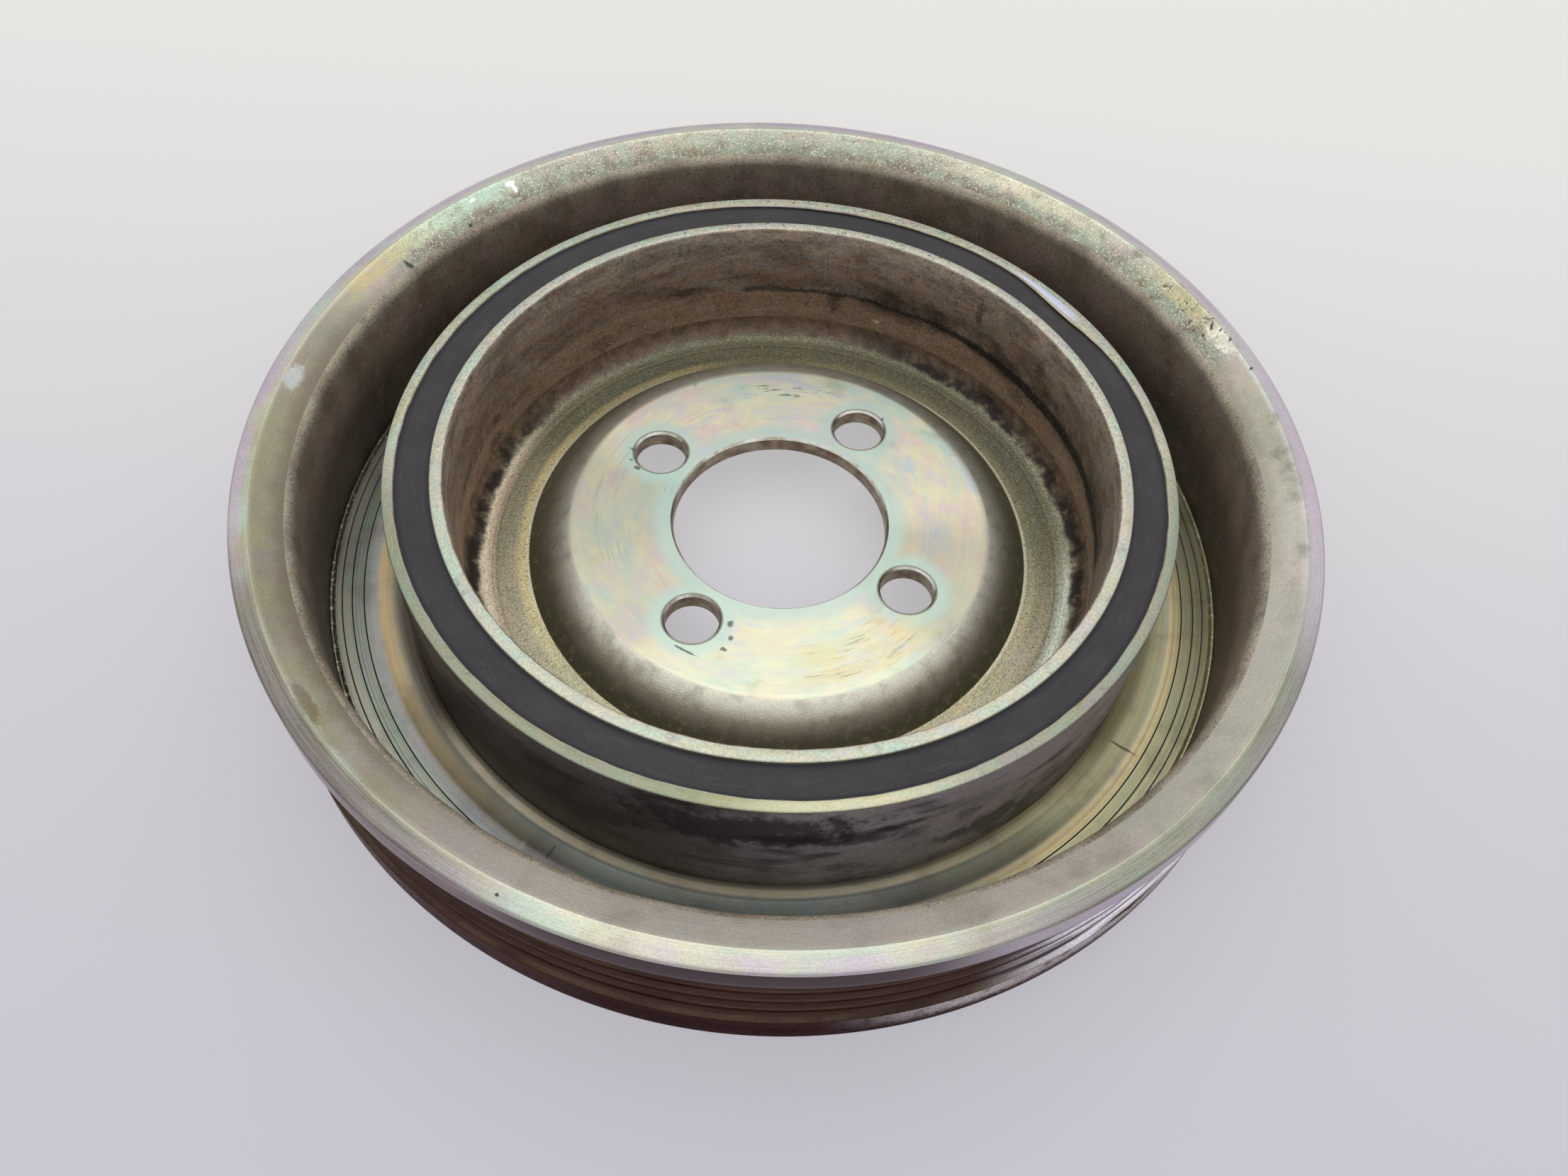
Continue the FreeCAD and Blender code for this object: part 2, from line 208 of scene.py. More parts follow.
class Nodes:
    """Adds nodes to one tree and joins them. A value is a number, a tuple or another node's socket."""

    def __init__(self, tree):
        self.tree = tree

    def new(self, kind, **settings):
        node = self.tree.nodes.new(kind)
        for name, value in settings.items():
            setattr(node, name, value)
        return node

    def feed(self, socket, value):
        if isinstance(value, bpy.types.NodeSocket):
            self.tree.links.new(value, socket)
        elif isinstance(value, tuple) and len(value) == 3 and len(socket.default_value) == 4:
            socket.default_value = (*value, 1)
        else:
            socket.default_value = value

    def math(self, operation, *values, clamp=False):
        node = self.new("ShaderNodeMath", operation=operation, use_clamp=clamp)
        for socket, value in zip(node.inputs, values):
            self.feed(socket, value)
        return node.outputs[0]

    def vector(self, operation, *values):
        node = self.new("ShaderNodeVectorMath", operation=operation)
        for socket, value in zip(node.inputs, values):
            self.feed(socket, value)
        return node.outputs["Value" if operation in ("LENGTH", "DOT_PRODUCT") else "Vector"]

    def combine(self, x, y, z):
        node = self.new("ShaderNodeCombineXYZ")
        for socket, value in zip(node.inputs, (x, y, z)):
            self.feed(socket, value)
        return node.outputs[0]

    def separate(self, vector):
        node = self.new("ShaderNodeSeparateXYZ")
        self.feed(node.inputs[0], vector)
        return node.outputs[:3]

    def steps(self, value, low, high, to_low=0, to_high=1):
        """Eases from to_low at low to to_high at high."""
        node = self.new("ShaderNodeMapRange", interpolation_type="SMOOTHSTEP")
        for socket, number in zip(node.inputs, (value, low, high, to_low, to_high)):
            self.feed(socket, number)
        return node.outputs[0]

    def mix(self, factor, first, second, blend="MIX"):
        node = self.new("ShaderNodeMix", data_type="RGBA", blend_type=blend, clamp_factor=True)
        for index, value in ((0, factor), (6, first), (7, second)):
            self.feed(node.inputs[index], value)
        return node.outputs[2]

    def ramp(self, value, *stops):
        """A colour ramp; each stop is (place, colour)."""
        node = self.new("ShaderNodeValToRGB")
        elements = node.color_ramp.elements
        while len(elements) < len(stops):
            elements.new(1)
        for element, (place, colour) in zip(elements, stops):
            element.position = place
            element.color = (*colour, 1)
        self.feed(node.inputs[0], value)
        return node.outputs[0]

    def noise(self, vector, scale, detail=2, roughness=0.5):
        node = self.new("ShaderNodeTexNoise", noise_dimensions="3D")
        values = {"Vector": vector, "Scale": scale, "Detail": detail, "Roughness": roughness}
        for name, value in values.items():
            self.feed(node.inputs[name], value)
        return node.outputs[0]

    def use(self, group, **values):
        node = self.new("ShaderNodeGroup", node_tree=group)
        for name, value in values.items():
            self.feed(node.inputs[name.replace("_", " ").capitalize()], value)
        return node.outputs


def node_group(name, inputs, outputs):
    """An empty node group with named sockets; returns it with its Nodes, its inputs and its output node."""
    tree = bpy.data.node_groups.new(name, "ShaderNodeTree")
    for label, kind, value in inputs:
        socket = tree.interface.new_socket(label, in_out="INPUT", socket_type=kind)
        if value is not None:
            socket.default_value = value
    for label, kind in outputs:
        tree.interface.new_socket(label, in_out="OUTPUT", socket_type=kind)
    nodes = Nodes(tree)
    entry, leave = nodes.new("NodeGroupInput"), nodes.new("NodeGroupOutput")
    return tree, nodes, entry.outputs, leave.inputs


FLOAT, COLOR, VECTOR = "NodeSocketFloat", "NodeSocketColor", "NodeSocketVector"


def round_axis_group():
    """Where a point lies round the shaft's axis: its radius, height and azimuth, and its direction."""
    tree, nodes, _, out = node_group(
        "Place round the axis", (),
        (("Radius", FLOAT), ("Height", FLOAT), ("Azimuth", FLOAT), ("Direction", VECTOR), ("Place", VECTOR)),
    )
    place = nodes.vector("SCALE", nodes.new("ShaderNodeTexCoord").outputs["Object"])
    place.node.inputs["Scale"].default_value = 1 / MM
    x, y, z = nodes.separate(place)
    flat = nodes.combine(x, y, 0)
    nodes.feed(out["Radius"], nodes.vector("LENGTH", flat))
    nodes.feed(out["Height"], z)
    nodes.feed(out["Azimuth"], nodes.math("MULTIPLY", nodes.math("ARCTAN2", y, x), 180 / math.pi))
    nodes.feed(out["Direction"], nodes.vector("NORMALIZE", flat))
    nodes.feed(out["Place"], place)
    return tree


def turned_streaks_group(round_axis):
    """Fine lines left by turning: noise that changes fast across the lines and slowly round the axis."""
    tree, nodes, given, out = node_group(
        "Turned streaks",
        (("Lines", FLOAT, 4), ("Breaks", FLOAT, 2), ("Seed", FLOAT, 0)),
        (("Streaks", FLOAT),),
    )
    place = nodes.use(round_axis)
    across = nodes.math("ADD", place["Radius"], nodes.math("MULTIPLY", place["Height"], 1.37))
    across = nodes.math("ADD", nodes.math("MULTIPLY", across, given["Lines"]), given["Seed"])
    x, y, _ = nodes.separate(place["Direction"])
    around = nodes.combine(
        nodes.math("MULTIPLY", x, given["Breaks"]), nodes.math("MULTIPLY", y, given["Breaks"]), across
    )
    nodes.feed(out["Streaks"], nodes.noise(around, 1, detail=3, roughness=0.6))
    return tree


def blotches_group(round_axis):
    """Uneven patches: soft noise cut off between two levels, with its own size and stretch along the axis."""
    tree, nodes, given, out = node_group(
        "Blotches",
        (("Size", FLOAT, 5), ("Stretch", FLOAT, 1), ("Low", FLOAT, 0.45), ("High", FLOAT, 0.6),
         ("Seed", FLOAT, 0)),
        (("Mask", FLOAT),),
    )
    place = nodes.use(round_axis)
    x, y, z = nodes.separate(place["Place"])
    tall = nodes.math("DIVIDE", z, given["Stretch"])
    moved = nodes.combine(nodes.math("ADD", x, given["Seed"]), y, tall)
    scale = nodes.math("DIVIDE", 1, given["Size"])
    rough = nodes.noise(moved, scale, detail=5, roughness=0.6)
    nodes.feed(out["Mask"], nodes.steps(rough, given["Low"], given["High"]))
    return tree


def smears_group(round_axis):
    """Patches drawn out round the axis: noise that is long round it and narrow across it."""
    tree, nodes, given, out = node_group(
        "Smears round the axis",
        (("Length", FLOAT, 10), ("Width", FLOAT, 1), ("Low", FLOAT, 0.45), ("High", FLOAT, 0.6),
         ("Seed", FLOAT, 0)),
        (("Mask", FLOAT),),
    )
    place = nodes.use(round_axis)
    x, y, _ = nodes.separate(place["Place"])
    across = nodes.math("DIVIDE", nodes.math("ADD", place["Radius"], place["Height"]), given["Width"])
    drawn = nodes.combine(
        nodes.math("ADD", nodes.math("DIVIDE", x, given["Length"]), given["Seed"]),
        nodes.math("DIVIDE", y, given["Length"]), across,
    )
    smear = nodes.noise(drawn, 1, detail=4, roughness=0.6)
    nodes.feed(out["Mask"], nodes.steps(smear, given["Low"], given["High"]))
    return tree


def band_group():
    """1 inside a band of values and 0 outside it, with soft edges."""
    tree, nodes, given, out = node_group(
        "Band",
        (("Value", FLOAT, 0), ("Middle", FLOAT, 0), ("Half", FLOAT, 1), ("Soft", FLOAT, 0.5)),
        (("Mask", FLOAT),),
    )
    away = nodes.math("ABSOLUTE", nodes.math("SUBTRACT", given["Value"], given["Middle"]))
    edge = nodes.math("ADD", given["Half"], given["Soft"])
    nodes.feed(out["Mask"], nodes.steps(away, given["Half"], edge, 1, 0))
    return tree


def sector_group(round_axis):
    """1 within some degrees of an azimuth and 0 beyond, with soft ends."""
    tree, nodes, given, out = node_group(
        "Sector",
        (("Middle", FLOAT, 0), ("Half", FLOAT, 20), ("Soft", FLOAT, 10)),
        (("Mask", FLOAT),),
    )
    azimuth = nodes.use(round_axis)["Azimuth"]
    away = nodes.math("WRAP", nodes.math("SUBTRACT", azimuth, given["Middle"]), 180, -180)
    edge = nodes.math("ADD", given["Half"], given["Soft"])
    nodes.feed(out["Mask"], nodes.steps(nodes.math("ABSOLUTE", away), given["Half"], edge, 1, 0))
    return tree


def mark_group(round_axis):
    """One ragged mark: an ellipse in azimuth and another value, with its edge pushed about by noise."""
    tree, nodes, given, out = node_group(
        "Ragged mark",
        (("Azimuth", FLOAT, 0), ("Half", FLOAT, 1), ("Value", FLOAT, 0), ("Middle", FLOAT, 0),
         ("Reach", FLOAT, 1), ("Ragged", FLOAT, 1.5), ("Fineness", FLOAT, 1.6)),
        (("Mask", FLOAT),),
    )
    place = nodes.use(round_axis)
    off = nodes.math("WRAP", nodes.math("SUBTRACT", place["Azimuth"], given["Azimuth"]), 180, -180)
    along = nodes.math("DIVIDE", off, given["Half"])
    across = nodes.math("DIVIDE", nodes.math("SUBTRACT", given["Value"], given["Middle"]), given["Reach"])
    away = nodes.vector("LENGTH", nodes.combine(along, across, 0))
    uneven = nodes.noise(place["Place"], given["Fineness"], detail=4, roughness=0.65)
    away = nodes.math("MULTIPLY_ADD", nodes.math("SUBTRACT", uneven, 0.5), given["Ragged"], away)
    nodes.feed(out["Mask"], nodes.steps(away, 1.15, 0.55))
    return tree


def tarnish_group(round_axis):
    """The plating's rainbow film: patches, drawn out round the axis, of green, cream, pink, blue and gold."""
    tree, nodes, given, out = node_group(
        "Plating film",
        (("Size", FLOAT, 6), ("Base", COLOR, (0.5, 0.5, 0.4, 1)), ("Strength", FLOAT, 0.5),
         ("Seed", FLOAT, 0)),
        (("Color", COLOR),),
    )
    place = nodes.use(round_axis)
    x, y, _ = nodes.separate(place["Direction"])
    size = nodes.math("DIVIDE", 1, given["Size"])
    across = nodes.math("ADD", place["Radius"], place["Height"])
    across = nodes.math("ADD", nodes.math("MULTIPLY", across, size), given["Seed"])
    reach = nodes.math("MULTIPLY", place["Radius"], nodes.math("MULTIPLY", size, 0.45))
    drawn = nodes.combine(nodes.math("MULTIPLY", x, reach), nodes.math("MULTIPLY", y, reach), across)
    film = nodes.noise(drawn, 1, detail=3, roughness=0.55)
    rainbow = nodes.ramp(
        film,
        (0.30, (0.44, 0.60, 0.58)), (0.40, (0.52, 0.66, 0.54)), (0.47, (0.66, 0.66, 0.52)),
        (0.53, (0.74, 0.66, 0.45)), (0.59, (0.70, 0.54, 0.52)), (0.70, (0.55, 0.52, 0.67)),
    )
    nodes.feed(out["Color"], nodes.mix(given["Strength"], given["Base"], rainbow))
    return tree


def specks_group(round_axis):
    """Grains: a fine noise cut off high, so that only its tips show."""
    tree, nodes, given, out = node_group(
        "Specks",
        (("Size", FLOAT, 0.3), ("Amount", FLOAT, 0.3), ("Seed", FLOAT, 0)),
        (("Mask", FLOAT), ("Grain", FLOAT)),
    )
    place = nodes.use(round_axis)
    moved = nodes.vector("ADD", place["Place"], nodes.combine(given["Seed"], 0, 0))
    grain = nodes.noise(moved, nodes.math("DIVIDE", 1, given["Size"]), detail=2, roughness=0.6)
    level = nodes.math("SUBTRACT", 0.75, nodes.math("MULTIPLY", given["Amount"], 0.4))
    nodes.feed(out["Mask"], nodes.steps(grain, level, nodes.math("ADD", level, 0.08)))
    nodes.feed(out["Grain"], grain)
    return tree


ROUND_AXIS = round_axis_group()
STREAKS = turned_streaks_group(ROUND_AXIS)
BLOTCHES = blotches_group(ROUND_AXIS)
SMEARS = smears_group(ROUND_AXIS)
BAND = band_group()
SECTOR = sector_group(ROUND_AXIS)
MARK = mark_group(ROUND_AXIS)
FILM = tarnish_group(ROUND_AXIS)
SPECKS = specks_group(ROUND_AXIS)


def linear(colour):
    """A colour as a screen shows it, 0 to 255, turned into Blender's linear one; a socket stays as it is."""
    if isinstance(colour, bpy.types.NodeSocket):
        return colour
    share = np.array(colour) / 255
    curved = ((share + 0.055) / 1.055) ** 2.4
    return tuple(float(value) for value in np.where(share <= 0.04045, share / 12.92, curved))


class Finish(Nodes):
    """One material of the pulley: its shader, its colour so far and the place of each point round the axis.

    Its colours are written as a screen shows them, from 0 to 255, or are another node's socket.
    """

    def __init__(self, name, anisotropic=0):
        self.colour = None
        self.material = bpy.data.materials.new(name)
        self.material.use_nodes = True
        super().__init__(self.material.node_tree)
        self.shader = self.tree.nodes["Principled BSDF"]
        self.place = self.use(ROUND_AXIS)
        if anisotropic:
            self.shader.inputs["Anisotropic"].default_value = anisotropic
            tangent = self.new("ShaderNodeTangent", direction_type="RADIAL", axis="Z")
            self.feed(self.shader.inputs["Tangent"], tangent.outputs[0])

    def band(self, value, middle, half, soft):
        return self.use(BAND, value=value, middle=middle, half=half, soft=soft)["Mask"]

    def sector(self, middle, half, soft):
        return self.use(SECTOR, middle=middle, half=half, soft=soft)["Mask"]

    def blotches(self, size, low, high, stretch=1, seed=0):
        return self.use(BLOTCHES, size=size, stretch=stretch, low=low, high=high, seed=seed)["Mask"]

    def smears(self, length, width, low, high, seed=0):
        return self.use(SMEARS, length=length, width=width, low=low, high=high, seed=seed)["Mask"]

    def streaks(self, lines, breaks, seed=0):
        return self.use(STREAKS, lines=lines, breaks=breaks, seed=seed)["Streaks"]

    def specks(self, size, amount, seed=0):
        return self.use(SPECKS, size=size, amount=amount, seed=seed)["Mask"]

    def film(self, size, base, strength, seed=0):
        return self.use(FILM, size=size, base=linear(base), strength=strength, seed=seed)["Color"]

    def both(self, *masks):
        """Several masks, or masks and strengths, multiplied together."""
        product = masks[0]
        for mask in masks[1:]:
            product = self.math("MULTIPLY", product, mask)
        return product

    def spot(self, azimuth, half, across, middle, reach, ragged=1.5, fineness=1.6):
        """A ragged mark round an azimuth, where the value across is near the middle."""
        values = {"azimuth": azimuth, "half": half, "value": across, "middle": middle, "reach": reach}
        return self.use(MARK, ragged=ragged, fineness=fineness, **values)["Mask"]

    def between(self, mask, first, second):
        """From the first colour, where the mask is 0, to the second, where it is 1."""
        return self.mix(mask, linear(first), linear(second))

    def graded(self, value, *stops):
        """A colour that changes with a value from 0 to 1; each stop is (place, colour)."""
        return self.ramp(value, *((place, linear(colour)) for place, colour in stops))

    def grained(self, depth, size=0.3, seed=0):
        """Makes the colour darker and lighter by a grain, up to the depth as a share; returns the grain."""
        grain = self.use(SPECKS, size=size, seed=seed)["Grain"]
        shade = self.steps(grain, 0.28, 0.72, 1 - depth, 1 + depth)
        self.colour = self.mix(1, self.colour, shade, blend="MULTIPLY")
        return grain

    def tint(self, other, *masks):
        """Changes the colour to another one as far as all the masks, multiplied, let it."""
        self.colour = self.between(self.both(*masks), self.colour, other)

    def close(self, roughness, metallic, height=None, depth=0.02, edge=None):
        """Feeds the shader; height is raised or sunk by at most the depth, in millimetres.

        A dull metal gets an edge colour, below white, for what it mirrors at a grazing angle.
        """
        if edge:
            self.shader.inputs["Specular Tint"].default_value = (*edge, 1)
        self.feed(self.shader.inputs["Base Color"], self.colour)
        self.feed(self.shader.inputs["Roughness"], roughness)
        self.feed(self.shader.inputs["Metallic"], metallic)
        if height is not None:
            bump = self.new("ShaderNodeBump")
            bump.inputs["Strength"].default_value = 1
            bump.inputs["Distance"].default_value = depth * MM
            self.feed(bump.inputs["Height"], height)
            self.feed(self.shader.inputs["Normal"], bump.outputs[0])
        return self.material


def from_bolt_hole(finish):
    """Distance from the nearest bolt hole's axis: the cosine rule with the bolt circle's radius."""
    turned_off = finish.math("WRAP", finish.place["Azimuth"], HOLE_PITCH, 0)
    off = finish.math("MULTIPLY", finish.math("SUBTRACT", turned_off, FIRST_HOLE), math.pi / 180)
    radius = finish.place["Radius"]
    squares = finish.math("MULTIPLY_ADD", radius, radius, BOLT_CIRCLE ** 2)
    reach = finish.math("MULTIPLY", radius, 2 * BOLT_CIRCLE)
    across = finish.math("MULTIPLY", reach, finish.math("COSINE", off))
    return finish.math("SQRT", finish.math("SUBTRACT", squares, across))


def faced_seat():
    """Faced, plated seat: pastel film in soft strokes, green halos at the edges, scuffs and scratches, with a
    painted highlight on the near side and painted dark reflection streaks in three narrow sectors.
    """
    finish = Finish("Faced seat with plating film", anisotropic=0.3)
    radius = finish.place["Radius"]
    hole = from_bolt_hole(finish)
    base = (196, 193, 180)
    finish.colour = finish.between(0.5, finish.film(5, base, 0.9), finish.film(9, base, 0.9, 13))
    finish.tint((232, 224, 184), finish.smears(5, 2.8, 0.44, 0.66, 3), 0.5)
    finish.tint((220, 194, 202), finish.smears(6, 3.2, 0.5, 0.7, 23), 0.45)
    finish.tint((182, 192, 220), finish.smears(6, 3, 0.54, 0.7, 43), 0.45)
    # Painted highlight: the near side is made paler.
    finish.tint((232, 238, 206), finish.sector(-105, 24, 26), 0.22)
    # Painted reflection: dark streaks of the turned face's bow-tie reflection, in three narrow sectors.
    finish.tint((150, 146, 124), finish.sector(-34, 12, 22), 0.5)
    finish.tint((150, 146, 128), finish.sector(166, 12, 20), 0.5)
    finish.tint((150, 146, 128), finish.sector(-156, 8, 18), 0.34)
    halo = finish.math("MAXIMUM", finish.band(hole, 5.2, 0.6, 2.4), finish.band(radius, 18.5, 1, 3))
    finish.tint((174, 208, 200), halo, 0.6)
    fine = finish.steps(finish.streaks(5, 1.2), 0.3, 0.7)
    finish.tint((176, 172, 156), fine, 0.2)
    scratches = finish.steps(finish.streaks(7, 3, 3), 0.60, 0.67)
    finish.tint((122, 118, 104), scratches, finish.blotches(9, 0.56, 0.66), 0.5)
    arcs = finish.both(finish.sector(160, 24, 12), finish.band(radius, 29, 2.6, 0.8))
    finish.tint((132, 138, 130), arcs, finish.smears(16, 0.25, 0.56, 0.66, 8), 0.55)
    rubbed = finish.both(finish.sector(-74, 14, 14), finish.band(radius, 29.5, 3, 1.6))
    finish.tint((214, 202, 150), rubbed, finish.smears(5, 1.6, 0.35, 0.62, 6), 0.6)
    finish.tint((132, 120, 86), rubbed, finish.smears(5, 0.4, 0.57, 0.68, 16), 0.5)
    strikes = finish.both(finish.sector(76, 12, 6), finish.band(radius, 29.8, 1.2, 0.8))
    finish.tint((66, 62, 52), strikes, finish.smears(2.6, 0.4, 0.57, 0.64, 2), 0.85)
    for azimuth, half, middle, reach in (
        (-121, 1.4, 23, 0.7), (-118.7, 1, 25.4, 0.6), (-119.5, 1.3, 27.8, 0.4), (-130, 4.2, 30.6, 0.22),
        (139.6, 0.7, 29.2, 1), (146.4, 0.8, 26.6, 0.6), (144, 0.5, 28.4, 0.4), (41, 0.6, 29.7, 0.4),
        (54, 0.9, 26.6, 0.5), (-52, 0.8, 27.4, 0.5),
    ):
        finish.tint((58, 54, 44), finish.spot(azimuth, half, radius, middle, reach, 2), 0.75)
    finish.tint((92, 86, 72), finish.band(hole, 4.85, 0.08, 0.14), 0.7)
    finish.tint((152, 142, 106), finish.blotches(9, 0.58, 0.74, seed=61), 0.35)
    finish.tint((84, 80, 66), finish.band(radius, 35.3, 0.1, 0.3), 0.2)
    return finish.close(finish.steps(fine, 0, 1, 0.38, 0.3), 1, fine, 0.003)


def bare_edge():
    """Bright chamfers where the plating has worn off."""
    finish = Finish("Bright worn chamfer")
    wear = finish.smears(6, 3, 0.4, 0.66)
    finish.colour = finish.between(wear, (232, 232, 224), (178, 172, 152))
    finish.tint((132, 116, 92), finish.blotches(3, 0.54, 0.7, seed=3), 0.5)
    grain = finish.grained(0.12)
    return finish.close(0.24, 1, grain, 0.01)


def bored_wall():
    """Walls of the bore and the bolt holes: turned steel stained brown."""
    finish = Finish("Stained bore wall")
    finish.colour = finish.between(finish.blotches(3, 0.35, 0.65, seed=6), (168, 156, 134), (118, 98, 78))
    lines = finish.steps(finish.streaks(4, 1, 5), 0.4, 0.62)
    finish.tint((86, 74, 62), lines, 0.4)
    return finish.close(0.38, 0.9, lines, 0.01)


def satin_shoulder():
    """Pressed shoulder: satin plating that darkens to olive towards its foot, partly olive plating and partly
    painted shade, with a fine grain; a painted highlight along its top on the near side and painted shade on
    the far side.
    """
    finish = Finish("Satin plated shoulder")
    # Darker towards the foot: olive plating and painted shade of the sloping bend together.
    finish.colour = finish.graded(
        finish.steps(finish.place["Height"], -3, 2.9),
        (0, (106, 108, 84)), (0.3, (122, 121, 102)), (0.62, (146, 144, 126)),
        (0.86, (176, 173, 158)), (1, (190, 187, 176)),
    )
    # Painted highlight: the near side is made pale towards the top.
    near = finish.sector(-105, 40, 34)
    finish.tint((240, 238, 220), finish.steps(finish.place["Height"], -1.4, 2.9), near, 0.8)
    # Painted shade: the far side is made darker.
    finish.tint((136, 133, 116), finish.sector(80, 70, 30), 0.3)
    finish.tint((112, 110, 86), finish.blotches(3, 0.44, 0.7, seed=5), 0.4)
    finish.tint((202, 194, 160), finish.blotches(1.4, 0.52, 0.68, seed=9), 0.3)
    grain = finish.grained(0.12, 0.24)
    return finish.close(0.48, 0.75, grain, 0.05)


def sandy_trough():
    """Trough floor: sandy green and tan plating, gold along the shoulder's foot, rust near the wall; painted
    light on the left and right, a painted highlight along the shoulder's foot, and painted shade on the far
    side and in the crevice at the wall's foot.
    """
    finish = Finish("Sandy plated trough")
    radius = finish.place["Radius"]
    finish.colour = finish.film(6, (214, 207, 172), 0.3, 5)
    finish.tint((168, 174, 144), finish.smears(12, 2.2, 0.42, 0.64, 2), 0.5)
    # Painted shade: the far side is made darker.
    far = finish.sector(78, 76, 44)
    finish.tint((98, 107, 88), far, 0.62)
    # Painted light: the left side, and the outer part of the floor on the left and on the right, are made
    # paler.
    finish.tint((240, 230, 200), finish.sector(174, 20, 16), 0.35)
    outer = finish.both(finish.steps(radius, 47.4, 48.6), finish.steps(radius, 51.2, 49.8))
    finish.tint((244, 226, 200), outer, finish.sector(-175, 30, 24), 0.85)
    finish.tint((228, 240, 224), outer, finish.sector(-50, 28, 14), 0.8)
    finish.tint((206, 202, 172), finish.band(radius, 48.5, 0.08, 0.2), 0.45)
    finish.tint((112, 106, 84), finish.band(radius, 47.9, 0.1, 0.3), 0.35)
    lines = finish.steps(finish.streaks(4, 2, 7), 0.5, 0.7)
    finish.tint((116, 112, 88), lines, 0.35)
    # Gold film and painted highlight along the shoulder's foot, strongest on the left; then a brighter
    # painted highlight line on the left and right.
    gold_and_highlight = finish.math("MULTIPLY_ADD", finish.sector(148, 40, 22), 0.8, 0.2)
    finish.tint((248, 234, 178), finish.band(radius, 42.9, 0.6, 1.5), gold_and_highlight)
    bright = finish.math("MAXIMUM", finish.sector(150, 36, 16), finish.sector(-4, 36, 20))
    finish.tint((255, 250, 222), finish.band(radius, 42.5, 0.2, 0.4), bright)
    # Painted shade: darker on the far side next to the shoulder.
    finish.tint((84, 90, 72), finish.sector(105, 24, 20), finish.steps(radius, 46.4, 44.6), 0.35)
    finish.tint((246, 238, 196), finish.specks(0.34, 0.5), 0.45)
    finish.tint((98, 88, 62), finish.specks(0.42, 0.45, 9), 0.5)
    creeping = finish.blotches(7, 0.2, 0.8, seed=3)
    creeping = finish.math("MULTIPLY_ADD", finish.blotches(1.2, 0.2, 0.8, seed=8), 0.5, creeping)
    ragged = finish.math("ADD", radius, creeping)
    rust = finish.between(finish.blotches(2, 0.3, 0.7, seed=12), (140, 116, 98), (106, 82, 68))
    finish.tint(rust, finish.steps(ragged, 50.8, 52.6), 0.9)
    # Painted shade in the crevice at the wall's foot, broken up by blotches, strongest on the right and on
    # the left.
    shade_strength_by_side = finish.math("MAXIMUM", finish.sector(12, 34, 24), finish.sector(176, 30, 20))
    shade_strength_by_side = finish.math("MULTIPLY_ADD", shade_strength_by_side, 0.65, 0.3)
    crevice_shade = finish.both(finish.band(ragged, 52.3, 0.4, 1.1), finish.blotches(4, 0.28, 0.54, seed=21))
    finish.tint((40, 32, 30), crevice_shade, shade_strength_by_side)
    grain = finish.grained(0.24, 0.3, 4)
    return finish.close(0.5, 0.6, grain, 0.06)


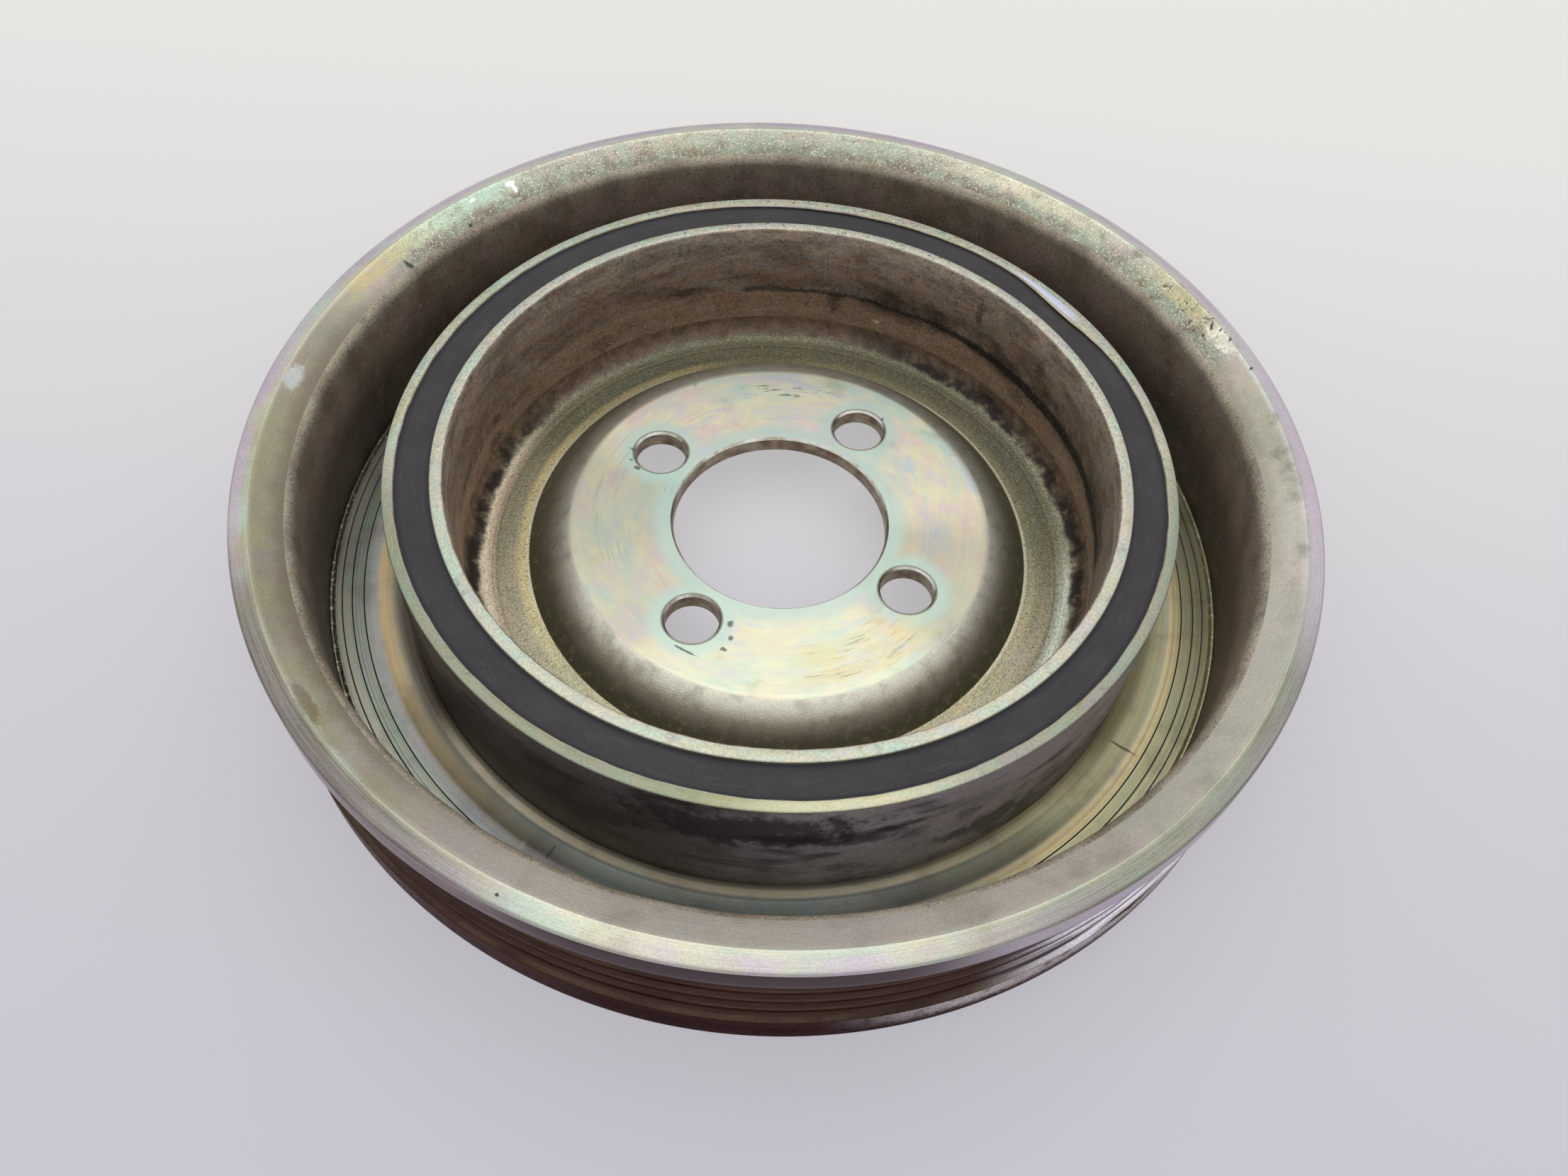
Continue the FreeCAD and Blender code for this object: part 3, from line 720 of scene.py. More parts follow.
def stained_cup_wall():
    """Inside of the cup's wall: rusty brown, with a line of old oil that sinks round the wall, and smears;
    painted shade darkens its foot.
    """
    finish = Finish("Stained cup wall")
    height, azimuth = finish.place["Height"], finish.place["Azimuth"]
    finish.colour = finish.between(finish.steps(height, 10, 20.5), (154, 132, 116), (192, 177, 160))
    finish.tint((98, 78, 66), finish.smears(9, 2.6, 0.4, 0.64), 0.6)
    finish.tint((166, 160, 158), finish.blotches(5, 0.48, 0.7, 0.6, 13), 0.5)
    finish.tint((146, 102, 72), finish.blotches(2.6, 0.5, 0.7, 0.5, 71), 0.45)
    finish.tint((72, 58, 52), finish.blotches(1.6, 0.54, 0.72, 0.7, 31), 0.5)
    finish.tint((134, 136, 146), finish.blotches(3.4, 0.5, 0.7, 0.5, 91), 0.42)
    finish.tint((116, 74, 60), finish.blotches(2, 0.53, 0.7, 0.6, 47), 0.4)
    sunk = finish.math("EXPONENT", finish.math("DIVIDE", finish.math("ADD", azimuth, 33), -14))
    line = finish.math("MULTIPLY_ADD", sunk, -5.2, 6.6)
    wavy = finish.steps(finish.streaks(0.01, 7), 0.3, 0.7, -0.3, 0.3)
    wavy = finish.math("MULTIPLY_ADD", finish.blotches(0.9, 0.3, 0.7, seed=25), 0.35, wavy)
    above = finish.math("ADD", finish.math("SUBTRACT", height, line), wavy)
    below = finish.steps(above, 0.3, -0.8)
    finish.tint((178, 144, 120), below, finish.blotches(3, 0.2, 0.6, 0.7, 63), 0.5)
    finish.tint((204, 186, 162), below, finish.specks(0.55, 0.45, 33), 0.45)
    haze = finish.both(finish.band(above, 1.4, 1.4, 3.6), finish.sector(20, 36, 24))
    finish.tint((44, 36, 33), haze, finish.blotches(6, 0.3, 0.62, 1.2, 3), 0.8)
    thick = finish.math("MULTIPLY_ADD", finish.sector(83, 3, 5), 0.3, finish.steps(azimuth, 58, 20, 0.1, 0.8))
    oil = finish.both(finish.band(above, 0.1, thick, 0.6), finish.sector(33, 53, 1.6))
    finish.tint((28, 23, 25), oil, finish.steps(azimuth, 62, 30, 0.68, 0.94))
    second = finish.both(finish.band(height, 5, 0.5, 1.2), finish.sector(158, 11, 5))
    finish.tint((54, 42, 40), second, finish.blotches(2.4, 0.3, 0.55, seed=7), 0.7)
    for middle, half, level, reach, strength in (
        (20, 1.6, 12.6, 2.4, 0.5), (37, 1, 14.4, 2.8, 0.6), (68, 1.6, 5, 3.4, 0.55),
        (24, 3, 3, 1.5, 0.4), (118, 3, 2, 2, 0.35), (99, 4.5, 7.6, 0.9, 0.55),
        (150, 3, 1, 1.4, 0.6), (164, 2, -0.4, 1, 0.7), (140, 4, 3.4, 0.9, 0.4),
    ):
        finish.tint((46, 37, 34), finish.spot(middle, half, height, level, reach, 2.4), strength)
    finish.tint((226, 222, 214), finish.spot(58.5, 0.7, height, 2.1, 0.4), 0.8)
    # Painted shade: the foot of the wall is made darker on the right and on the left.
    finish.tint((36, 29, 27), finish.steps(height, 0.4, -1.6), finish.sector(16, 44, 30), 0.8)
    finish.tint((44, 36, 34), finish.steps(height, 0.6, -2), finish.sector(176, 26, 20), 0.55)
    finish.tint((216, 206, 188), finish.specks(0.34, 0.34), 0.35)
    finish.tint((52, 42, 36), finish.specks(0.5, 0.42, 19), 0.45)
    grain = finish.grained(0.28, 0.28, 14)
    return finish.close(0.52, 0.6, grain, 0.06)


def plated_edge(name, base, gold, seed):
    """Top edge of the cup or the sleeve: pale grained plating with rainbow film, chipped in places, with
    painted glints on the far side.
    """
    finish = Finish(name)
    narrow, broad = finish.film(1.6, base, 0.6, seed), finish.film(5, base, 0.5, seed + 7)
    finish.colour = finish.between(0.5, narrow, broad)
    finish.tint(gold, finish.smears(10, 1.6, 0.5, 0.66, seed), 0.5)
    finish.tint((178, 206, 190), finish.blotches(7, 0.5, 0.66, seed=seed), 0.4)
    finish.tint((128, 122, 100), finish.blotches(2.4, 0.56, 0.72, seed=9), 0.4)
    far = finish.sector(75, 80, 30)
    # Painted glints: bright specks on the far side.
    finish.tint((246, 250, 240), finish.specks(0.3, 0.42), far, 0.5)
    finish.tint((100, 92, 72), finish.specks(0.36, 0.42, 15), far, 0.5)
    chips = finish.both(finish.sector(72, 26, 16), finish.blotches(0.8, 0.58, 0.64, seed=50))
    finish.tint((62, 56, 44), chips, 0.7)
    grain = finish.grained(0.14, 0.4, 6)
    return finish, grain


def cup_rim_edge():
    """The cup's top edge, pale and a little green."""
    finish, grain = plated_edge("Cup's plated edge", (172, 178, 165), (190, 186, 156), 21)
    return finish.close(0.4, 0.95, grain, 0.04)


def sleeve_rim_edge():
    """The sleeve's top edge: olive, with a painted blue-white highlight where it is smeared furthest."""
    finish, grain = plated_edge("Sleeve's plated edge", (148, 156, 138), (172, 168, 124), 41)
    finish.tint((216, 212, 156), finish.sector(-100, 10, 12), 0.3)
    finish.tint((108, 112, 88), finish.sector(-144, 30, 18), 0.55)
    finish.tint((112, 116, 98), finish.sector(-46, 24, 18), 0.48)
    # Painted highlight: a blue-white patch on the smeared edge.
    smear_glint = finish.both(finish.sector(29, 5, 4), finish.band(finish.place["Radius"], 59.6, 1, 0.5))
    finish.tint((214, 214, 238), smear_glint, 0.9)
    return finish.close(0.38, 0.95, grain, 0.04)


def hidden_plating():
    """Undersides: turned, plated and a little dusty."""
    finish = Finish("Plain plating underneath")
    finish.colour = finish.film(11, (168, 164, 140), 0.35, 2)
    lines = finish.steps(finish.streaks(2.5, 1, 4), 0.4, 0.65)
    finish.tint((120, 114, 92), lines, 0.35)
    finish.tint((104, 94, 76), finish.blotches(9, 0.45, 0.7, seed=31), 0.55)
    finish.tint((126, 92, 62), finish.blotches(4, 0.58, 0.72, seed=77), 0.45)
    grain = finish.grained(0.16, 0.4)
    return finish.close(0.42, 0.9, grain, 0.03)


def bonded_rubber():
    """Matte charcoal rubber with faint rubbed marks; the nearly black blue along both of its bonded edges is
    painted shade.
    """
    finish = Finish("Charcoal rubber")
    radius = finish.place["Radius"]
    finish.colour = finish.between(finish.blotches(9, 0.4, 0.65), (43, 40, 42), (51, 48, 49))
    finish.tint((76, 72, 72), finish.smears(6, 0.8, 0.55, 0.7, 4), 0.35)
    finish.tint((70, 68, 66), finish.specks(0.3, 0.4, 3), 0.4)
    # Painted shade: nearly black blue along both edges, where the rubber meets the steel.
    finish.colour = finish.between(finish.band(radius, 57.5, 1.7, 0.9), (20, 19, 34), finish.colour)
    grain = finish.grained(0.16, 0.36)
    return finish.close(0.55, 0, grain, 0.05)


def sooty_sleeve():
    """Outside of the sleeve: brown-black soot, smeared off in patches to a mauve grey over one side, with
    painted reflection in those patches; painted light near the top and painted shade towards the foot.
    """
    finish = Finish("Sooty sleeve")
    height = finish.place["Height"]
    finish.colour = finish.between(finish.blotches(9, 0.34, 0.66, 0.6, 3), (60, 51, 50), (84, 74, 71))
    # Soot smeared off and painted reflection: mauve grey patches over the right side.
    wiped_and_reflection = finish.blotches(10, 0.22, 0.52, 0.6, 17)
    finish.tint((206, 197, 203), finish.sector(-58, 34, 30), wiped_and_reflection, 0.9)
    # Painted light: the near side is made paler towards the top.
    finish.tint((132, 124, 126), finish.steps(height, 10, 19.5), finish.sector(-90, 60, 30), 0.45)
    dark = finish.smears(18, 4, 0.5, 0.68, 37)
    finish.tint((36, 29, 29), dark, 0.8)
    finish.tint((92, 66, 52), finish.blotches(5, 0.56, 0.74, 0.6, 41), 0.45)
    finish.tint((132, 126, 128), finish.smears(9, 0.8, 0.58, 0.72, 7), 0.3)
    # Dark soot marks and pale marks; the pale marks on the right are partly painted reflection.
    for azimuth, half, middle, reach, other, strength in (
        (-106, 17, 13.6, 5, (24, 18, 18), 0.8), (-92, 8, 11, 2.6, (24, 18, 18), 0.6),
        (-74, 10, 12.6, 3.6, (176, 168, 168), 0.6), (-72, 9, 2.4, 2.6, (30, 24, 24), 0.7),
        (-54, 9, 16, 5, (180, 172, 166), 0.55), (-56, 8, 2, 3.6, (160, 150, 146), 0.6),
        (-155, 8, 16.4, 4.6, (126, 116, 102), 0.6), (-116, 9, 4.6, 3.8, (116, 108, 100), 0.5),
    ):
        mark = finish.spot(azimuth, half, height, middle, reach, 2.4, 0.35)
        finish.tint(other, mark, strength)
    # Painted shade: darker towards the foot, down in the channel.
    finish.tint((28, 23, 22), finish.steps(height, 1, -4.5), 0.6)
    grain = finish.grained(0.2, 0.34, 2)
    return finish.close(0.5, 0.35, grain, 0.05)


def turned_web():
    """Turned web: a broad dish and narrow flats between dark lines; teal, gold or olive by the side; painted
    shade at the sleeve's foot with a painted highlight line just beyond it, and painted highlights beside the
    lines on the right.
    """
    finish = Finish("Turned web", anisotropic=0.4)
    radius = finish.place["Radius"]
    left, right = finish.sector(172, 36, 28), finish.sector(-38, 26, 26)
    # From the sleeve's foot outwards: painted shade, then a painted highlight line, then the teal dish and
    # the flats.
    finish.colour = finish.graded(
        finish.steps(radius, SLEEVE_OUTSIDE, RIM_WALL),
        (0, (92, 84, 70)), (0.006, (170, 160, 136)), (0.012, (255, 244, 214)),
        (0.04, (250, 238, 204)), (0.07, (104, 119, 122)), (0.33, (114, 127, 129)),
        (0.38, (150, 146, 150)), (0.55, (128, 146, 138)), (0.8, (142, 160, 150)),
        (1, (200, 200, 182)),
    )
    dish = finish.steps(radius, 67.8, 66.8)
    finish.tint((202, 166, 92), left, dish, finish.steps(radius, 63, 66.6), 0.8)
    finish.tint((150, 150, 164), left, finish.band(radius, 68.5, 0.8, 0.3), 0.5)
    finish.tint((156, 146, 82), right, dish, 0.7)
    finish.tint((214, 192, 126), right, finish.band(radius, 68.5, 0.8, 0.3), 0.8)
    finish.tint((184, 176, 112), right, finish.steps(radius, 69.6, 70.2), 0.55)
    finish.tint(finish.film(3, (160, 158, 140), 0.9, 14), 0.2)
    fine = finish.steps(finish.streaks(6, 0.4, 5), 0.3, 0.7)
    finish.tint((214, 208, 180), fine, 0.25)
    turned_lines = finish.steps(finish.streaks(3.2, 0.2, 21), 0.54, 0.64)
    finish.tint((70, 64, 62), turned_lines, finish.steps(radius, 67.4, 68), 0.5)
    gold_lines = finish.steps(finish.streaks(2.6, 0.15, 57), 0.54, 0.62)
    finish.tint((226, 206, 134), gold_lines, right, finish.steps(radius, 65.6, 67.4), 0.6)
    # Painted shade beside the sleeve's foot, on the left and on the right.
    foot = finish.steps(radius, 65.2, 63.4)
    finish.tint((44, 34, 28), finish.sector(178, 22, 18), foot, 0.92)
    finish.tint((78, 72, 44), finish.sector(-30, 14, 20), foot, 0.8)
    shaded = finish.math("MAXIMUM", finish.sector(-146, 12, 10), finish.sector(-76, 8, 10))
    finish.tint((64, 66, 62), shaded, dish, finish.steps(radius, 63.8, 64.4), 0.45)
    for line in WEB_LINES:
        finish.tint((34, 28, 32), finish.band(radius, line, 0.04, 0.1), 0.55)
    # Painted highlights: pale lines beside the dark lines, on the right.
    for line in (67.7, 69.9, 72, 73.8):
        finish.tint((216, 202, 150), finish.band(radius, line, 0.04, 0.12), right, 0.6)
    finish.tint((86, 80, 64), finish.blotches(8, 0.5, 0.72, seed=8), 0.3)
    for azimuth, reach, strength in ((-131, 1.6, 0.5), (-46, 2.6, 0.8)):
        finish.tint((54, 50, 36), finish.spot(azimuth, 0.22, radius, 66.3, reach, 1), strength)
    finish.tint((212, 190, 150), finish.spot(-134.5, 0.3, radius, 67.6, 0.9), 0.5)
    burr = finish.steps(radius, 74, 74.3)
    finish.tint((96, 92, 74), burr, left, 0.7)
    finish.tint((240, 236, 208), burr, finish.specks(0.7, 0.5, 5), 0.9)
    grain = finish.grained(0.07, 0.3, 8)
    return finish.close(0.42, 0.85, finish.mix(0.5, fine, grain), 0.006)


def sooty_rim_wall():
    """Inside of the rim's wall: red-brown soot with fine bright specks, paler and olive near the lip."""
    finish = Finish("Sooty rim wall")
    height = finish.place["Height"]
    finish.colour = finish.graded(
        finish.math("DIVIDE", finish.math("ADD", height, 4.5), 24),
        (0, (54, 44, 40)), (0.4, (106, 88, 80)), (0.66, (166, 144, 130)), (0.86, (170, 152, 136)),
        (1, (182, 174, 154)),
    )
    uneven = finish.blotches(2.6, 0.2, 0.8, seed=19)
    turning = finish.math("MULTIPLY_ADD", uneven, 1.2, finish.place["Radius"])
    finish.tint((176, 168, 148), finish.steps(turning, 75.5, 78), 0.5)
    finish.tint((70, 54, 48), finish.blotches(7, 0.42, 0.7, 1.2, 6), 0.45)
    finish.tint((118, 106, 74), finish.blotches(14, 0.45, 0.65, seed=40), 0.35)
    finish.tint((156, 116, 98), finish.blotches(4, 0.5, 0.7, 0.7, 52), 0.3)
    finish.tint((196, 186, 170), finish.specks(0.3, 0.34), 0.3)
    finish.tint((42, 34, 32), finish.specks(0.45, 0.42, 17), 0.45)
    finish.tint((238, 234, 224), finish.specks(0.6, 0.14, 81), 0.7)
    grain = finish.grained(0.28, 0.28, 11)
    return finish.close(0.52, 0.45, grain, 0.06)


def brushed_lip():
    """Lip: satin cone, then a smooth crest with rainbow film; mottled and scratched on the far side; painted
    reflections make the near cone paler, the crest darker in two sectors and the right bevel lavender, and
    painted highlights and glints brighten the far crest, edge and slope.
    """
    finish = Finish("Plated lip", anisotropic=0.3)
    radius = finish.place["Radius"]
    cone = finish.film(9, (176, 167, 155), 0.2, 33)
    crest = finish.film(7, (206, 208, 188), 0.4, 51)
    finish.colour = finish.between(finish.steps(radius, 79.9, 81), cone, crest)
    finish.tint((150, 166, 142), finish.sector(-36, 26, 18), finish.blotches(9, 0.35, 0.6, seed=2), 0.6)
    finish.tint((118, 113, 90), finish.sector(174, 20, 14), finish.steps(radius, 81.2, 80.2), 0.5)
    olive = finish.both(finish.sector(-168, 22, 16), finish.blotches(8, 0.4, 0.62, seed=4))
    finish.tint((168, 166, 122), olive, 0.45)
    # Painted reflection: the cone on the near side is made paler.
    finish.tint((228, 218, 208), finish.sector(-72, 50, 22), finish.steps(radius, 81.4, 80.2), 0.42)
    finish.tint((142, 134, 118), finish.blotches(10, 0.46, 0.74, seed=8), 0.45)
    far = finish.sector(72, 62, 8)
    slope = finish.steps(radius, 81.6, 80.8)
    inner = finish.math("MULTIPLY_ADD", finish.blotches(3, 0.2, 0.8, seed=11), 1.2, radius)
    finish.tint((92, 83, 69), far, finish.steps(inner, 80.2, 76.8), 0.85)
    finish.tint((112, 101, 86), finish.sector(180, 26, 14), finish.steps(inner, 79.8, 76.6), 0.6)
    finish.tint((136, 124, 108), finish.sector(100, 112, 20), finish.steps(inner, 79, 77), 0.4)
    finish.tint((168, 186, 162), far, slope, finish.blotches(5, 0.36, 0.62, seed=5), 0.55)
    finish.tint((130, 118, 88), far, slope, finish.blotches(2, 0.5, 0.72, seed=36), 0.5)
    cream = finish.blotches(2.4, 0.3, 0.55, seed=6)
    raised = finish.both(slope, finish.steps(inner, 78.2, 79.6))
    finish.tint((206, 190, 128), raised, finish.sector(138, 4, 9), cream, 0.55)
    finish.tint((190, 226, 202), raised, finish.sector(126, 4, 9), cream, 0.6)
    finish.tint((244, 242, 224), finish.spot(9.4, 3.4, radius, 79.9, 1.6, 1.6), 0.75)
    finish.tint((232, 224, 192), raised, finish.sector(43, 4, 12), cream, 0.5)
    finish.tint((196, 186, 124), raised, finish.sector(17, 1, 8), cream, 0.5)
    # Painted highlight: the crest on the far side is made paler.
    above = finish.steps(radius, 80.4, 81.4)
    finish.tint((240, 242, 230), above, far, 0.4)
    lilac = finish.both(finish.steps(radius, 81.2, 82.2), finish.blotches(22, 0.36, 0.56, seed=77))
    finish.tint((206, 184, 212), lilac, 0.7)
    green = finish.both(finish.steps(radius, 80.6, 81.6), finish.blotches(13, 0.5, 0.64, seed=70))
    finish.tint((196, 222, 206), green, 0.55)
    # Painted reflection: dark sectors across the crest, left and right of the near side.
    finish.tint((92, 84, 74), above, finish.sector(-150, 12, 20), 0.8)
    finish.tint((112, 116, 92), above, finish.sector(-54, 18, 22), 0.7)
    # Painted reflection of the paper: lavender on the bevel at the right.
    bevel = finish.steps(radius, 79.8, 81.8)
    finish.tint((224, 208, 226), bevel, finish.sector(-14, 14, 16), 0.6)
    # Painted highlight along the outer edge on the far side.
    finish.tint((240, 232, 240), finish.steps(radius, 82.8, 83.2), far, 0.6)
    fine = finish.steps(finish.streaks(6, 5, 9), 0.35, 0.65)
    finish.tint((226, 226, 210), fine, finish.steps(radius, 80.2, 81.2, 0.03, 0.2))
    lines = finish.steps(finish.streaks(7, 16, 29), 0.56, 0.68)
    finish.tint((104, 96, 76), lines, far, slope, 0.3)
    # Painted glints: bright specks on the far slope.
    finish.tint((248, 252, 242), finish.specks(0.32, 0.44), far, slope, 0.6)
    finish.tint((92, 82, 58), finish.specks(0.4, 0.42, 63), far, slope, 0.5)
    smudged = finish.both(finish.blotches(4, 0.46, 0.74, seed=27), finish.band(radius, 79.6, 0.8, 1.6))
    finish.tint((116, 106, 90), smudged, finish.sector(4, 24, 20), 0.6)
    spotted = finish.both(finish.sector(15, 4, 5), finish.blotches(0.9, 0.58, 0.66, seed=90))
    finish.tint((52, 44, 34), spotted, slope, 0.8)
    for azimuth, half, middle, reach, slant in (
        (137.2, 0.35, 76.4, 1.9, 0.1), (126.5, 0.25, 76.2, 0.9, 0), (3.5, 0.2, 81, 0.5, 0.3),
        (11.6, 0.25, 80, 0.7, 0.7), (8.6, 0.2, 80.9, 0.5, 0.5), (10.4, 0.16, 80.6, 0.4, 0.4),
        (-126.4, 0.22, 82.3, 0.26, 0),
    ):
        slanted = finish.math("MULTIPLY_ADD", radius, slant, azimuth - slant * middle)
        finish.tint((46, 40, 40), finish.spot(slanted, half, radius, middle, reach, 1), 0.85)
    finish.tint((112, 96, 66), finish.spot(-154, 3, radius, 80, 1.1), 0.55)
    for azimuth, half, middle, reach in (
        (118.2, 0.8, 79.7, 0.6), (118, 0.35, 78.7, 0.9), (124, 0.5, 79.9, 0.3),
    ):
        finish.tint((252, 253, 255), finish.spot(azimuth, half, radius, middle, reach, 0.8), 0.95)
    finish.tint((216, 226, 228), finish.spot(160.6, 2.2, radius, 79.4, 1.3, 1), 0.5)
    grain = finish.grained(0.09, 0.3, 16)
    return finish.close(finish.steps(radius, 80, 81.2, 0.42, 0.3), 1, finish.mix(0.3, grain, fine), 0.02)


def paper_reflection_sides(finish, reach):
    """The two sides, left and right of the viewer, where the outside of the rim gets a painted reflection of
    the paper.
    """
    right, left = finish.sector(-52, reach, 16), finish.sector(177, reach * 0.9, 18)
    return finish.math("MAXIMUM", right, left)


def smooth_face():
    """The lip's outer face: smooth mauve grey, with painted reflections that make it bright at the sides and
    dark nearest the viewer.
    """
    finish = Finish("Smooth lip face")
    finish.colour = finish.between(finish.smears(16, 1, 0.4, 0.66, 12), (178, 167, 162), (142, 128, 126))
    # Painted reflection of the paper: bright at the sides.
    finish.tint((240, 235, 246), paper_reflection_sides(finish, 28), 0.9)
    finish.tint((186, 196, 176), finish.blotches(12, 0.5, 0.66, seed=58), 0.3)
    # Painted reflection: dark where the face is nearest the viewer.
    finish.tint((56, 43, 45), finish.sector(-105, 13, 15), 0.9)
    grain = finish.grained(0.1)
    return finish.close(0.26, 1, grain, 0.012, edge=(0.72, 0.66, 0.68))


def sooty_ribs():
    """Belt grooves: smooth dark red-brown steel with rubbed olive tips, made bright at the sides by a painted
    reflection of the paper.
    """
    finish = Finish("Sooty belt grooves")
    radius = finish.place["Radius"]
    finish.colour = finish.between(finish.steps(radius, 79.3, RIB_TIPS), (46, 33, 33), (64, 48, 44))
    finish.tint((40, 28, 29), finish.smears(14, 1.2, 0.44, 0.66, 12), 0.5)
    tips = finish.steps(radius, 81.7, RIB_TIPS)
    finish.tint((92, 77, 62), tips, finish.smears(12, 2, 0.34, 0.62, 2), 0.5)
    # Painted reflection of the paper: bright smears at the sides.
    paper_reflection = finish.both(paper_reflection_sides(finish, 15), finish.smears(26, 0.45, 0.36, 0.6, 90))
    finish.tint((244, 240, 250), paper_reflection, 0.92)
    grain = finish.grained(0.16)
    return finish.close(0.26, 1, grain, 0.012, edge=(0.44, 0.37, 0.38))


def dull_flange():
    """Lower flange: red-brown and pitted, tan along its upper edge, with painted light on its near left and
    left, and a painted reflection of the paper that makes it pale at the right.
    """
    finish = Finish("Dull lower flange")
    height = finish.place["Height"]
    finish.colour = finish.between(finish.blotches(7, 0.36, 0.68, seed=15), (64, 47, 44), (42, 30, 30))
    finish.tint((92, 72, 62), finish.band(height, -2, 0.5, 1), 0.45)
    # Painted light: lighter on the near left.
    finish.tint((104, 84, 76), finish.sector(-138, 8, 14), 0.55)
    # Painted light: pale specks on the left.
    mid = finish.both(finish.sector(-172, 24, 12), finish.band(height, -4.4, 0.8, 1.4))
    finish.tint((214, 198, 164), mid, finish.specks(0.9, 0.6, 3), 0.7)
    # Painted reflection of the paper: pale at the right.
    paper_reflection = finish.both(finish.sector(-71, 10, 17), finish.steps(height, -6.8, -3.6))
    finish.tint((250, 246, 240), paper_reflection, finish.blotches(3, 0.2, 0.5, seed=6), 0.95)
    pits = finish.both(finish.blotches(0.9, 0.5, 0.56, seed=12), finish.steps(height, -3, -6))
    finish.tint((34, 24, 27), pits, 0.8)
    finish.tint((104, 86, 76), finish.specks(0.5, 0.4), 0.25)
    grain = finish.grained(0.3, 0.36)
    return finish.close(0.34, 0.95, finish.mix(0.5, grain, pits), 0.07, edge=(0.46, 0.39, 0.4))


# Pieces

def hub_piece(materials):
    """The cup's section carried round the axis, closed by two flat rings that the bolt holes pierce.

    The shoulder's upper bend is an arc about the same centre as the bend under it.
    """
    under = 0.0
    rear_edge, inner_bend, outer_bend = 33.013, 4.8, 8.0
    outside = [
        (rear_edge, under, 0.0, "plain"), (35.051, under, inner_bend, "plain"), (40.71, -5.86, 3.2, "plain"),
        (CUP_OUTSIDE, -8.49, 5.7, "plain"), (CUP_OUTSIDE, CUP_TOP, 0.25, "edge"),
        (CUP_INSIDE, CUP_TOP, 0.25, "wall"), (CUP_INSIDE, -4.846, 3.6, "trough"),
        (42.3, -2.9, 0.2, "shoulder"), (38.768, 0.757, 0.0, "shoulder"),
    ]
    path, finishes = section_path(outside, LONGEST_STEP, closed=False)
    bend = arc((rear_edge, -inner_bend), outer_bend, 44.0, 74.253, 12)
    path = np.concatenate([path[:-1], bend])
    finishes = finishes[:-1] + ["shoulder"] * (len(bend) - 1)
    piece = Piece()
    piece.add(turned(path, worn_cup_rim), finishes)
    bore_chamfer, hole_chamfer = 0.4, 0.35
    bore = np.array([
        (BORE + bore_chamfer, SEAT_TOP), (BORE + 0.2, SEAT_TOP - 0.18), (BORE, SEAT_TOP - bore_chamfer),
        (BORE, 1.25), (BORE, under),
    ])
    piece.add(turned(bore), ["chamfer", "chamfer", "bore", "bore"])
    seat_edge = path[-1][0]
    flared = BOLT_HOLE + hole_chamfer
    for index in range(4):
        middle = FIRST_HOLE + HOLE_PITCH * index
        upper = holed_sector(piece, middle, BORE + bore_chamfer, seat_edge, SEAT_TOP, flared, "seat")
        lower = holed_sector(piece, middle, BORE, rear_edge, under, BOLT_HOLE, "plain")
        throat = upper.copy()
        centre = on_bolt_circle(middle)
        throat[:, :2] = centre + (upper[:, :2] - centre) * BOLT_HOLE / flared
        throat[:, 2] = SEAT_TOP - hole_chamfer
        piece.add(np.stack([upper, throat, lower]), ["chamfer", "bore"])
    return piece.build("hub_steel", materials)


def on_bolt_circle(azimuth):
    """The point of the bolt circle at an azimuth: radius * (cos a, sin a)."""
    return BOLT_CIRCLE * np.array([math.cos(math.radians(azimuth)), math.sin(math.radians(azimuth))])


def holed_sector(piece, middle, inner, outer, height, hole, finish):
    """A quarter of a flat ring with one hole, and the hole's rim as an array of points.

    The sector's closed outline is blended in even steps into the hole's circle; each outline
    point is joined to the circle's point in the same direction from the hole's axis.
    """
    half, rows = 30.0, 14
    step = 360.0 / SEGMENTS
    inside = np.arange(middle - half, middle + half + step / 2, step)
    sides = np.linspace(inner, outer, rows + 1)
    turn = np.concatenate([inside, np.full(rows - 1, inside[-1]), inside[::-1], np.full(rows - 1, inside[0])])
    along_inner, along_outer = np.full(len(inside), inner), np.full(len(inside), outer)
    reach = np.concatenate([along_inner, sides[1:-1], along_outer, sides[-2:0:-1]])
    outline = np.stack([reach * np.cos(np.radians(turn)), reach * np.sin(np.radians(turn))], axis=1)
    centre = on_bolt_circle(middle)
    away = outline - centre
    rim = centre + hole * away / np.linalg.norm(away, axis=1)[:, None]
    share = np.linspace(0, 1, 9)[:, None, None]
    flat = outline * (1 - share) + rim * share
    piece.add(np.dstack([flat, np.full(flat.shape[:2], height)]), finish)
    between = np.arange(middle + half, middle + HOLE_PITCH - half + step / 2, step)
    angle = np.radians(between)[None, :]
    ring = np.stack([sides[:, None] * np.cos(angle), sides[:, None] * np.sin(angle)], axis=2)
    piece.add(np.dstack([ring, np.full(ring.shape[:2], height)]), finish, columns_closed=False)
    return np.dstack([rim[None], np.full((1, len(rim)), height)])[0]


def worn_cup_rim(radius, height, azimuth):
    """Wears the cup rim's inner edge unevenly: points there move outwards by a ripple round the axis."""
    near_edge = np.clip(1 - np.hypot(radius - CUP_INSIDE, height - CUP_TOP) / 0.6, 0, 1)
    return radius + near_edge * 0.06 * (1 + ripple(azimuth, 5, 20, 110)), height


